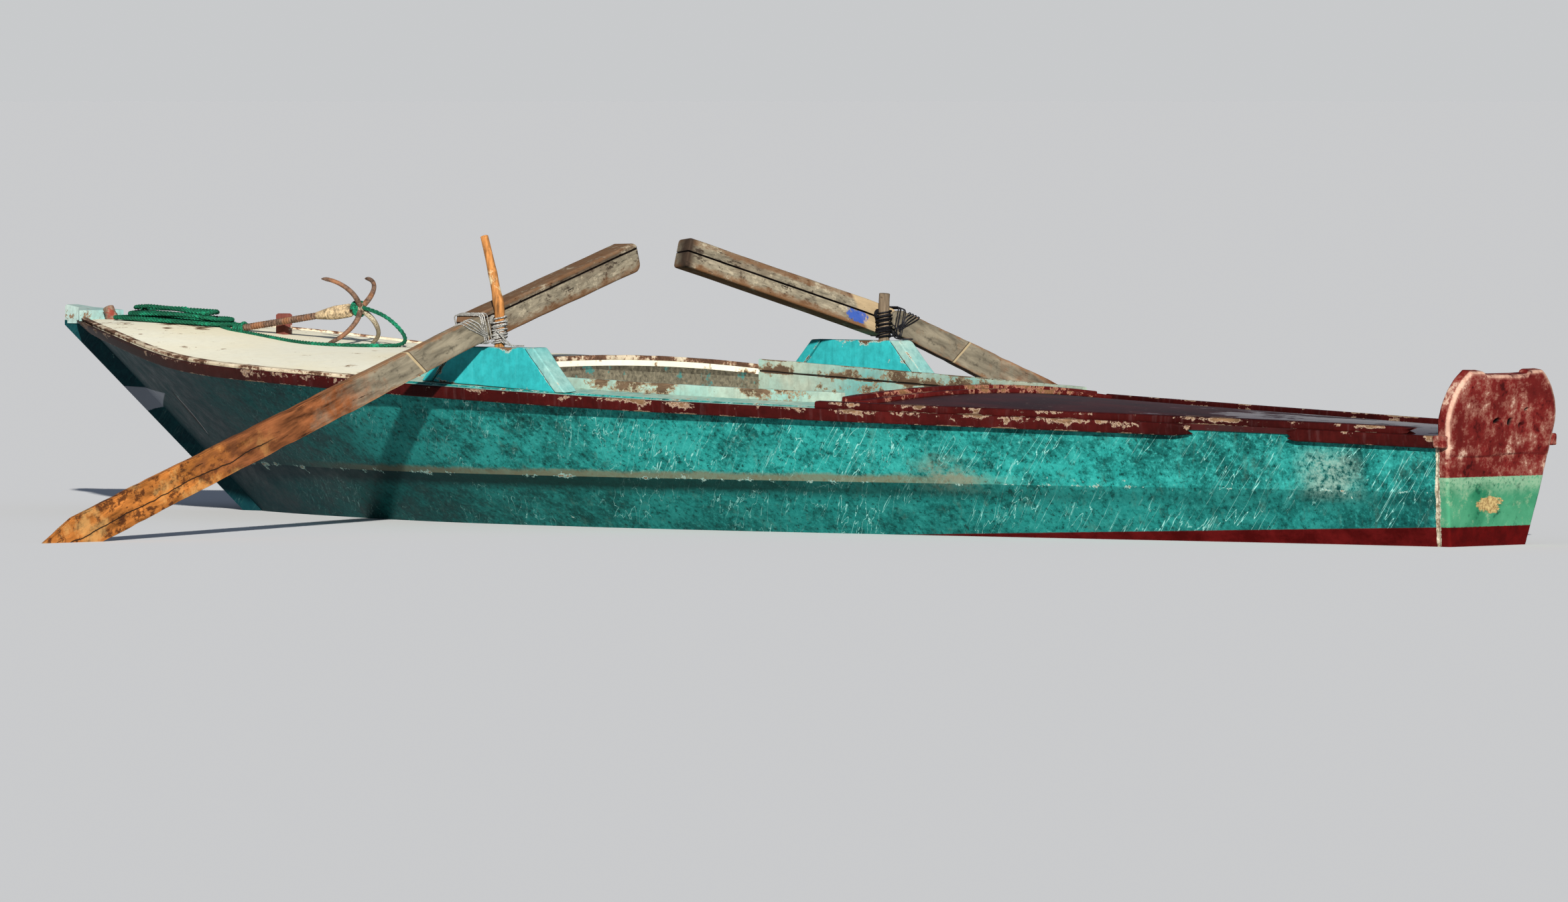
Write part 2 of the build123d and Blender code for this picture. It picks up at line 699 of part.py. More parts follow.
# The lashing: turns of string round the loom's rounded end and the blade's root
lash_end = LASH_AT + LASH_WIDTH
lash_fore = PIN_STANDOFF + LOOM_WIDTH / cos(splay) - (LASH_AT + LOOM_BEND) * tan(splay)
lash_aft = PIN_STANDOFF - BLADE_THICK
blade_low = BLADE_ROOT / 2 + lash_end * sin(radians(BLADE_SLOPE - LOOM_SLOPE))
with BuildPart() as lashing:
    with BuildSketch(loom_side.offset(lash_aft - LASH_THICK)):
        with BuildLine():
            Polyline((LASH_AT, board_upper + LASH_THICK), (lash_end, board_upper + LASH_THICK),
                     (lash_end, -blade_low - LASH_THICK), (LASH_AT, -board_lower - LASH_THICK), close=True)
        make_face()
    extrude(amount=lash_fore - lash_aft + 2 * LASH_THICK)
    for part in (*loom_boards, blade.part):
        add(part, mode=Mode.SUBTRACT)
save_oar_piece(lashing.part, "oar_lashing")

for side_name, pin_x, radius, rise, lean in PINS:
    side = SIDES[side_name]
    with BuildPart() as strop:
        with Locations((pin_x, side * PIN_Y, BLOCK_TOP + CLEAR + STROP_RISE / 2)):
            Cylinder(STROP_RADIUS, STROP_RISE)
        fillet(strop.edges().filter_by(GeomType.CIRCLE), (STROP_RADIUS - radius) / 3)
        with BuildSketch(Plane(origin=(pin_x, side * PIN_Y, OAR_Z), z_dir=(-1, 0, 0))):
            Circle(STROP_BOSS)
        extrude(amount=PIN_STANDOFF - CLEAR)
        with Locations((pin_x, side * PIN_Y, BLOCK_TOP + STROP_RISE / 2)):
            Cylinder(radius + CLEAR, STROP_RISE * 2, mode=Mode.SUBTRACT)
    save(strop.part, f"{side_name}_strop")

# Bow peg and samson post, standing on the foredeck
with BuildPart() as bow_peg:
    lean = radians(PEG_LEAN)
    peg_plane = Plane(origin=(PEG_X, 0, STEM_TOP - 20), x_dir=(0, 1, 0), z_dir=(-sin(lean), 0, cos(lean)))
    with BuildSketch(peg_plane):
        Circle(PEG_FOOT_RADIUS)
    extrude(amount=PEG_FOOT, both=True)
    with BuildSketch(peg_plane):
        Circle(PEG_RADIUS)
    extrude(amount=PEG_RISE)
    fillet(bow_peg.edges().sort_by(Axis.Z)[-1], PEG_RADIUS / 5)
    add(HULL, mode=Mode.SUBTRACT)
    add(slab(z_from=STEM_TOP / 2), mode=Mode.INTERSECT)
    add(UNDER_DECK, mode=Mode.SUBTRACT)
save(bow_peg.part, "bow_peg")

with BuildPart() as samson_post:
    with Locations((POST_X, POST_Y, STEM_TOP - 90)):
        Box(POST_SIDE, POST_SIDE, POST_RISE * 2)
    chamfer(samson_post.faces().sort_by(Axis.Z)[-1].edges(), POST_SIDE / 8)
    add(HULL, mode=Mode.SUBTRACT)
    add(slab(z_from=STEM_TOP - 130), mode=Mode.INTERSECT)
save(samson_post.part, "samson_post")

# Grapnel anchor: a shank of bundled bars, a hub and four bent flukes
crown_point, eye_point = Vector(*ANCHOR_CROWN), Vector(*ANCHOR_EYE)
along_shank = (crown_point - eye_point).normalized()
shank_plane = Plane(origin=crown_point, x_dir=(0, 1, 0), z_dir=along_shank)
shank_length = (crown_point - eye_point).length

with BuildPart() as anchor_shank:
    with BuildSketch(shank_plane.offset(-shank_length)):
        Circle(SHANK_RADIUS)
    extrude(amount=shank_length - BUNDLE_FROM)
    with BuildSketch(shank_plane.offset(-BUNDLE_FROM - BUNDLE_LENGTH)):
        Circle(SHANK_RADIUS)
    with BuildSketch(shank_plane.offset(-BUNDLE_FROM - BUNDLE_LENGTH * 2 / 3)):
        Circle(BUNDLE_RADIUS)
    loft()
    with BuildSketch(shank_plane.offset(-BUNDLE_FROM - BUNDLE_LENGTH * 2 / 3)):
        Circle(BUNDLE_RADIUS)
    extrude(amount=BUNDLE_LENGTH * 2 / 3)
    with BuildSketch(shank_plane.offset(-BUNDLE_FROM)):
        Circle(SHANK_RADIUS)
    extrude(amount=BUNDLE_FROM - HUB_LENGTH / 2)
    add(HULL, mode=Mode.SUBTRACT)
save(anchor_shank.part, "anchor_shank")

with BuildPart() as anchor_hub:
    with BuildSketch(shank_plane.offset(-HUB_LENGTH / 2)):
        Circle(HUB_RADIUS)
    extrude(amount=HUB_LENGTH)
save(anchor_hub.part, "anchor_hub")

with BuildPart() as anchor_flukes:
    for turn in (45, 135, 225, 315):
        across = Vector(0, 1, 0).rotate(Axis((0, 0, 0), along_shank), turn)
        fluke_plane = Plane(origin=crown_point, x_dir=across, z_dir=across.cross(along_shank))
        start = fluke_plane.from_local_coords((0, 0))
        bow = fluke_plane.from_local_coords((FLUKE_BOW[1], FLUKE_BOW[0]))
        tip = fluke_plane.from_local_coords((FLUKE_TIP[1], FLUKE_TIP[0]))
        with BuildLine() as bend:
            ThreePointArc(start, bow, tip)
        with BuildSketch(Plane(origin=start, z_dir=bend.line % 0)):
            Circle(FLUKE_RADIUS)
        sweep(path=bend.line)
    add(anchor_hub.part, mode=Mode.SUBTRACT)
    add(HULL, mode=Mode.SUBTRACT)
    add(UNDER_DECK, mode=Mode.SUBTRACT)
save(anchor_flukes.part, "anchor_flukes")

# The anchor's rope: a loose hank between peg and anchor, and its tail up to the crown
with BuildPart() as rope_hank:
    with BuildSketch(Plane.XY):
        with Locations(((HANK_FORE + HANK_AFT) / 2, 0)):
            SlotOverall(HANK_AFT - HANK_FORE, 2 * HANK_HALF)
    extrude(amount=HULL_REACH)
    add(HULL.moved(Location((0, 0, HANK_RISE))), mode=Mode.INTERSECT)
    add(HULL, mode=Mode.SUBTRACT)
save(rope_hank.part, "rope_hank")

runs = [Vector(*b) - Vector(*a) for a, b in zip(TAIL, TAIL[1:])]
radii = [
    TAIL_BEND * min(a.length, b.length) / tan(radians(a.get_angle(b)) / 2)
    for a, b in zip(runs, runs[1:])
]
print("tail radii", [round(radius) for radius in radii])
with BuildPart() as rope_tail:
    with BuildLine() as route:
        FilletPolyline(*TAIL, radius=radii)
    with BuildSketch(Plane(origin=TAIL[0], z_dir=route.line % 0)):
        Circle(ROPE / 2)
    sweep(path=route.line)
    whole_tail = rope_tail.part.volume
    for piece in (rope_hank, anchor_hub):
        add(piece.part, mode=Mode.SUBTRACT)
save(rope_tail.part, "rope_tail")
tail_length = route.wires()[0].length
print("tail length", round(tail_length))
print("tail volume over section times length", round(whole_tail / (tail_length * pi * ROPE ** 2 / 4), 4))
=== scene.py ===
from math import atan2, copysign, cos, pi, radians, sin, tan

import bpy
import numpy as np
from bpy.props import FloatProperty, FloatVectorProperty, IntProperty, PointerProperty
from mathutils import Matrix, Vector


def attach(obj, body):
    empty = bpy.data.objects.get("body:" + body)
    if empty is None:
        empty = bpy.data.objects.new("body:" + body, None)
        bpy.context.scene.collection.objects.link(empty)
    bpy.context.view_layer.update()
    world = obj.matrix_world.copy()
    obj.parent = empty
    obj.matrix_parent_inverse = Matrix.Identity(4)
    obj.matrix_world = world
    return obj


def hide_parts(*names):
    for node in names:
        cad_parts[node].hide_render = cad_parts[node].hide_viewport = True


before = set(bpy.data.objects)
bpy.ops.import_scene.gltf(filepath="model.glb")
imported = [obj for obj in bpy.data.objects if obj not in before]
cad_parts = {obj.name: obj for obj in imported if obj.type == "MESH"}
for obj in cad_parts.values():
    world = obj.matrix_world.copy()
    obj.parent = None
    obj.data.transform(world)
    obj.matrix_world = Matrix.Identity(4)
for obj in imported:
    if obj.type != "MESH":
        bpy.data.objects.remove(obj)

bl_info = {
    "name": "Plank Rowing Boat",
    "version": (1, 0, 0),
    "blender": (4, 5, 0),
    "location": "View3D > Sidebar > Boat",
    "description": "Dresses a decked, plank-built rowing boat with worn paint, oars, grapnel and rope",
    "category": "Add Mesh",
}

# The hull's frames, in millimetres, from bow to stern: where the frame's plane meets the
# waterline, its lean toward the bow in degrees, the sheer, the half breadths and the keel.
FRAMES = np.array([
    # foot_x, lean, rail_y, rail_z, chine_y, bilge_y, keel_z
    (-2423, 54.5, 30, 690, 36, 36, -150),
    (-2250, 42.0, 440, 660, 190, 90, -180),
    (-1819, 24.0, 825, 575, 440, 220, -195),
    (-994, 9.0, 1035, 526, 735, 430, -205),
    (25, 0.0, 990, 478, 770, 500, -205),
    (1125, 0.0, 757, 440, 622, 420, -192),
    (1750, 0.0, 603, 424, 507, 348, -178),
    (2350, 0.0, 460, 409, 390, 274, -160),
    (2890, -4.0, 347, 393, 300, 212, -142),
    (3382, -8.3, 277, 378, 243, 175, -125),
], float)
# Heights of the chine and the bilge corner, thicknesses of the planks and the deck, in millimetres,
# and the deck's crown as a share of its breadth.
CHINE_Z, BILGE_Z, PLANK, DECK, CROWN = 185.0, -100.0, 22.0, 20.0, 0.030
# The cockpit's ends and the breadth of the deck beside it, in millimetres.
COCKPIT_FORE, COCKPIT_AFT, SIDE_DECK = -775.0, 1030.0, 135.0
# The sign of y on each side.
SIDES = {"port": -1.0, "starboard": 1.0}

# The transom, in metres: its thickness, its lean, where its fore face meets the waterline, and how
# far aft it goes for each metre up.
TRANSOM, TRANSOM_LEAN, TRANSOM_FOOT, TRANSOM_RUN = 0.048, radians(-8.3), 3.382, 0.1459
# Height of the split between a loom's two boards, in metres over the pin's place.
LOOM_SPLIT = {"port": 0.019, "starboard": -0.008}
# The material and the slot of the string on each side's oar.
STRING = {"port": ("string", "cord"), "starboard": ("black_rope", "dark_cord")}


# Properties

class BoatColours(bpy.types.PropertyGroup):
    """Colours of the boat's paints, woods, metal and rope."""
    teal: FloatVectorProperty(name="Teal", description="Paint of the hull's planks",
                              subtype="COLOR", size=3, min=0, max=1, default=(0.011, 0.165, 0.150))
    red: FloatVectorProperty(name="Dark red", description="Paint of the rub strakes and aft deck",
                             subtype="COLOR", size=3, min=0, max=1, default=(0.085, 0.008, 0.007))
    pale: FloatVectorProperty(name="Pale", description="Paint of the foredeck",
                              subtype="COLOR", size=3, min=0, max=1, default=(0.66, 0.64, 0.52))
    cyan: FloatVectorProperty(name="Cyan", description="Paint of the thole blocks and side decks",
                              subtype="COLOR", size=3, min=0, max=1, default=(0.018, 0.235, 0.245))
    bare: FloatVectorProperty(name="Bare wood", description="Wood where the paint has gone",
                              subtype="COLOR", size=3, min=0, max=1, default=(0.16, 0.10, 0.055))
    grey: FloatVectorProperty(name="Grey wood", description="Weathered wood of the oars' looms",
                              subtype="COLOR", size=3, min=0, max=1, default=(0.205, 0.178, 0.128))
    iron: FloatVectorProperty(name="Iron", description="Rusted iron of the grapnel",
                              subtype="COLOR", size=3, min=0, max=1, default=(0.085, 0.052, 0.036))
    rope: FloatVectorProperty(name="Rope", description="Green rope of the grapnel",
                              subtype="COLOR", size=3, min=0, max=1, default=(0.010, 0.085, 0.045))


class BoatSizes(bpy.types.PropertyGroup):
    """Sizes of the boat's trim and cordage."""
    rope: FloatProperty(name="Rope", description="Diameter of the anchor's rope",
                        unit="LENGTH", min=0.008, max=0.018, default=0.016)
    string: FloatProperty(name="String", description="Diameter of the oars' lashings",
                          unit="LENGTH", min=0.003, max=0.008, default=0.005)
    dents: FloatProperty(name="Dents", description="Depth of dents along worn edges",
                         unit="LENGTH", min=0.0, max=0.004, default=0.002)
    rings: IntProperty(name="Stations", description="Stations along a plank of the hull",
                       min=40, max=400, default=180)


def colours():
    """The scene's colours of the boat."""
    return bpy.context.scene.boat_colours


def sizes():
    """The scene's sizes of the boat."""
    return bpy.context.scene.boat_sizes


# Shapes

def ripple(*coords, seed=1, waves=10, low=2.0, high=9.0):
    """Smooth noise from -1 to 1: a sum of sines whose wave vectors come from a seeded table."""
    rng = np.random.default_rng(seed)
    total = 0.0
    for _ in range(waves):
        size = rng.uniform(low, high)
        direction = rng.normal(size=len(coords))
        direction *= size / np.linalg.norm(direction)
        total = total + np.sin(sum(k * c for k, c in zip(direction, coords)) + rng.uniform(0, 6.28))
    return total / (waves * 0.55)


def hull_rows(t):
    """The frames' columns at t, counted in frames from the bow: a cubic through every column."""
    t = np.asarray(t, float)
    x = along_frames(FRAMES, FRAMES[:, 3])
    at = np.concatenate([[0], np.cumsum(np.hypot(np.diff(x), np.diff(FRAMES[:, 2])))])
    gap = np.diff(at)
    chord = np.diff(FRAMES, axis=0) / gap[:, None]
    slope = np.empty_like(FRAMES)
    slope[1:-1] = (chord[:-1] * gap[1:, None] + chord[1:] * gap[:-1, None]) / (gap[1:] + gap[:-1])[:, None]
    slope[0] = 2 * chord[0] - slope[1]
    slope[-1] = 2 * chord[-1] - slope[-2]
    i = np.clip(t.astype(int), 0, len(FRAMES) - 2)
    w = (t - i)[..., None]
    length = gap[i][..., None]
    return (FRAMES[i] * (2 * w ** 3 - 3 * w ** 2 + 1) + FRAMES[i + 1] * (3 * w ** 2 - 2 * w ** 3)
            + length * (slope[i] * (w ** 3 - 2 * w ** 2 + w) + slope[i + 1] * (w ** 3 - w ** 2)))


def points_of(*coordinates):
    """Points from their coordinates, each stretched to the shape of the others."""
    return np.stack(np.broadcast_arrays(*coordinates), -1)


def profile(*corners):
    """A profile's corners at every station of a path, from each corner's coordinates."""
    return np.stack([points_of(*corner) for corner in corners], 1)


def along_frames(rows, z):
    """How far along the boat each leaning frame is at a height, in millimetres."""
    return rows[..., 0] - z * np.tan(np.radians(rows[..., 1]))


def in_hull(rows, y, z):
    """Points in metres at breadth y and height z, in millimetres, in each leaning frame's plane."""
    return points_of(along_frames(rows, z), y, z) / 1000


FINE = np.linspace(0, len(FRAMES) - 1, 3601)
FINE_ROWS = hull_rows(FINE)
RAIL_X = along_frames(FINE_ROWS, FINE_ROWS[:, 3])


def t_at(x):
    """Where along the frames the sheer is at x."""
    return np.interp(x, RAIL_X, FINE)


def deck_height(rows, share):
    """Height of the crowned deck at a share of its half breadth: an arc through both sheers."""
    half = rows[..., 2]
    rise = CROWN * 2 * half
    radius = (half ** 2 + rise ** 2) / (2 * rise)
    return rows[..., 3] + np.sqrt(radius ** 2 - (share * half) ** 2) - (radius - rise)


def deck_z(x, y):
    """Height of the deck's surface over a point of its plan, both in metres."""
    rows = FINE_ROWS[FINE < 4]
    share = np.clip(np.abs(y) * 1000 / np.maximum(rows[:, 2], 1), 0, 1)
    z = deck_height(rows, share)
    return np.interp(x * 1000, along_frames(rows, z), z) / 1000


def rounded(corners, radius, steps):
    """Each corner of a closed profile drawn as a quadratic curve that starts a radius before it
    and ends a radius after it. corners is (stations, corners, 2)."""
    before, after = np.roll(corners, 1, 1), np.roll(corners, -1, 1)
    a, b = before - corners, after - corners
    la, lb = np.linalg.norm(a, axis=-1, keepdims=True), np.linalg.norm(b, axis=-1, keepdims=True)
    r = np.minimum(np.broadcast_to(radius, la.shape), 0.45 * np.minimum(la, lb))
    start, end = corners + a / la * r, corners + b / lb * r
    w = np.linspace(0, 1, steps)[None, None, :, None]
    drawn = ((1 - w) ** 2 * start[:, :, None] + 2 * w * (1 - w) * corners[:, :, None]
             + w ** 2 * end[:, :, None])
    return drawn.reshape(len(corners), -1, corners.shape[-1])


def carried(rings, **layers):
    """A closed profile carried along a path: rings is (stations, points, 3), vertex (i, j) is ring
    i's point j, and each end is closed by a fan round its middle. Layers are given by ring."""
    n, m = rings.shape[:2]
    index = np.arange(n * m).reshape(n, m)
    nxt = np.roll(index, -1, 1)
    quads = np.stack([index[:-1], nxt[:-1], nxt[1:], index[1:]], -1).reshape(-1, 4)
    verts = np.concatenate([rings.reshape(-1, 3), rings[:1].mean(1), rings[-1:].mean(1)])
    a, b = n * m, n * m + 1
    faces = quads.tolist()
    faces += np.stack([nxt[0], index[0], np.full(m, a)], -1).tolist()
    faces += np.stack([index[-1], nxt[-1], np.full(m, b)], -1).tolist()
    full = {}
    for label, values in layers.items():
        values = np.broadcast_to(values, (n, m) + np.shape(values)[2:])
        full[label] = np.concatenate([values.reshape(n * m, *values.shape[2:]), values[0].mean(0)[None],
                                      values[-1].mean(0)[None]])
    return verts, faces, full


def blended(corners, share):
    """Points at three shares from 0 to 1 between eight corners, (2, 2, 2, 3): each corner weighs the
    product of its shares."""
    a, b, c = (share[:, k, None] for k in range(3))
    near, far = ((side[0, 0] * (1 - b) + side[1, 0] * b) * (1 - c)
                 + (side[0, 1] * (1 - b) + side[1, 1] * b) * c for side in corners)
    return near * (1 - a) + far * a


def hewn(corners, radius=0.005, counts=(12, 6, 8), rough=0.0008, seed=1, grain=(6, 22, 22)):
    """A hewn block between eight corners. The six sides of a box are grids of two parameters; a
    point nearer an edge than the radius is moved to that distance from the inner box, which rounds
    the edge; the box is then bent to the corners, and noise moves each point along its normal."""
    corners = np.asarray(corners, float).reshape(2, 2, 2, 3)
    half = np.array([np.linalg.norm(c[1].mean((0, 1)) - c[0].mean((0, 1))) / 2
                     for c in (corners, corners.swapaxes(0, 1), corners.transpose(2, 0, 1, 3))])
    radius = min(radius, 0.45 * half.min())
    turn = radius * np.tan(np.linspace(0, pi / 4, 4))
    places = [np.unique(np.round(np.concatenate([-(h - radius) - turn, np.linspace(radius - h, h - radius, n),
                                                 h - radius + turn]), 7)) for h, n in zip(half, counts)]
    points, faces, start = [], [], 0
    for axis in range(3):
        b, c = (axis + 1) % 3, (axis + 2) % 3
        across, up = np.meshgrid(places[b], places[c], indexing="ij")
        index = np.arange(across.size).reshape(across.shape)
        quads = np.stack([index[:-1, :-1], index[1:, :-1], index[1:, 1:], index[:-1, 1:]], -1).reshape(-1, 4)
        for sign in (-1, 1):
            grid = np.empty(across.shape + (3,))
            grid[..., axis], grid[..., b], grid[..., c] = sign * half[axis], across, up
            points.append(grid.reshape(-1, 3))
            faces.append(quads[:, ::sign] + start)
            start += across.size
    points, faces = np.concatenate(points), np.concatenate(faces)
    _, first, index = np.unique(np.round(points * 1e6).astype(int), axis=0, return_index=True,
                                return_inverse=True)
    points, faces = points[first], index.reshape(-1)[faces]
    inner = np.clip(points, radius - half, half - radius)
    out = points - inner
    out /= np.linalg.norm(out, axis=1, keepdims=True)
    at = blended(corners, ((inner + radius * out) / half + 1) / 2)
    normal = blended(corners, ((inner + (radius + 1e-4) * out) / half + 1) / 2) - at
    normal /= np.linalg.norm(normal, axis=1, keepdims=True)
    wear = np.exp(-np.sort(half - np.abs(points), axis=1)[:, 1] / 0.009)
    noise = ripple(*(at * np.array(grain)).T, seed=seed, low=1, high=4)
    return at + normal * (rough * noise * (1 + wear))[:, None], faces.tolist(), {"wear": wear}


def box_corners(low, high):
    """The eight corners of an upright box."""
    return np.array([[[(x, y, z) for z in (low[2], high[2])] for y in (low[1], high[1])]
                     for x in (low[0], high[0])], float)


def mesh_volume(verts, faces):
    """Signed volume of a closed mesh: the sum of the tetrahedra from the origin to each triangle."""
    tri = np.array([(f[0], f[k], f[k + 1]) for f in faces for k in range(1, len(f) - 1)])
    a, b, c = verts[tri[:, 0]], verts[tri[:, 1]], verts[tri[:, 2]]
    return float(np.einsum("ij,ij->i", a, np.cross(b, c)).sum())


def placed(name, data):
    """A new object of the scene."""
    piece = bpy.data.objects.new(name, data)
    bpy.context.scene.collection.objects.link(piece)
    return piece


def made(name, parts, material, body, replaces=(), sharp=40):
    """A mesh piece from closed parts, each (vertices, faces, layers), turned outward. A layer is a
    number or a vector at every vertex, by name, and is zero on the parts that don't have it."""
    verts, faces, start = [], [], 0
    labels = {label: np.ndim(values) for _, _, layers in parts for label, values in layers.items()}
    for v, f, _ in parts:
        if mesh_volume(v, f) < 0:
            f = [face[::-1] for face in f]
        verts.append(v)
        faces += [[k + start for k in face] for face in f]
        start += len(v)
    mesh = bpy.data.meshes.new(name)
    mesh.from_pydata(np.concatenate(verts).tolist(), [], faces)
    for label, dimensions in labels.items():
        shape = (3,) if dimensions == 2 else ()
        values = np.concatenate([np.asarray(layers.get(label, np.zeros((len(v), *shape))), np.float32)
                                 for v, _, layers in parts])
        attribute = mesh.attributes.new(label, "FLOAT_VECTOR" if shape else "FLOAT", "POINT")
        attribute.data.foreach_set("vector" if shape else "value", values.ravel())
    mesh.polygons.foreach_set("use_smooth", np.ones(len(mesh.polygons), bool))
    mesh.set_sharp_from_angle(angle=radians(sharp))
    mesh.materials.append(material)
    piece = placed(name, mesh)
    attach(piece, body)
    if replaces:
        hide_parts(*replaces)
    return piece


def frame_along(points):
    """Tangents, and two normals that turn as little as they can, along a polyline."""
    tangent = np.gradient(points, axis=0)
    tangent /= np.linalg.norm(tangent, axis=1, keepdims=True)
    normal = np.empty_like(points)
    first = np.cross(tangent[0], (0, 0, 1.0))
    if np.linalg.norm(first) < 0.1:
        first = np.cross(tangent[0], (0, 1.0, 0))
    normal[0] = first / np.linalg.norm(first)
    for i in range(1, len(points)):
        n = normal[i - 1] - tangent[i] * (normal[i - 1] @ tangent[i])
        normal[i] = n / np.linalg.norm(n)
    return tangent, normal, np.cross(tangent, normal)


def tube(points, radius, around=12, bumps=None):
    """Rings of a round tube along a polyline: point + r (cos a N + sin a B), r by station."""
    points = np.asarray(points, float)
    _, normal, binormal = frame_along(points)
    angle = np.linspace(0, 2 * pi, around, endpoint=False)
    r = np.broadcast_to(np.asarray(radius, float), (len(points),))[:, None]
    if bumps is not None:
        r = r * (1 + bumps(np.arange(len(points))[:, None], angle[None, :]))
    return (points[:, None] + (r * np.cos(angle))[..., None] * normal[:, None]
            + (r * np.sin(angle))[..., None] * binormal[:, None])


def resampled(points, step):
    """The polyline's points again, evenly spaced about a step apart."""
    points = np.asarray(points, float)
    at = np.concatenate([[0], np.cumsum(np.linalg.norm(np.diff(points, axis=0), axis=1))])
    want = np.linspace(0, at[-1], max(2, int(at[-1] / step) + 1))
    return np.stack([np.interp(want, at, points[:, k]) for k in range(3)], -1)


def arc(a, b, c, count):
    """Points of the circle through three points of a plane, from the first to the last."""
    a, b, c = (np.array(q, float) for q in (a, b, c))
    m = 2 * np.array([b - a, c - a])
    centre = np.linalg.solve(m, [b @ b - a @ a, c @ c - a @ a])
    angles = np.unwrap([atan2(*(q - centre)[::-1]) for q in (a, b, c)])
    angle = np.linspace(angles[0], angles[2], count)
    return centre + np.linalg.norm(a - centre) * np.stack([np.cos(angle), np.sin(angle)], -1)


def bent(points, count=12):
    """A smooth curve through the points: between two of them, a cubic whose ends follow their
    neighbours (Catmull and Rom's form)."""
    points = np.asarray(points, float)
    padded = np.concatenate([[2 * points[0] - points[1]], points, [2 * points[-1] - points[-2]]])
    a, b, c, d = padded[:-3], padded[1:-2], padded[2:-1], padded[3:]
    w = np.linspace(0, 1, count, endpoint=False)[None, :, None]
    a, b, c, d = (q[:, None] for q in (a, b, c, d))
    drawn = 0.5 * (2 * b + (c - a) * w + (2 * a - 5 * b + 4 * c - d) * w ** 2
                   + (3 * b - a - 3 * c + d) * w ** 3)
    return np.concatenate([drawn.reshape(-1, 3), points[-1:]])


# Materials

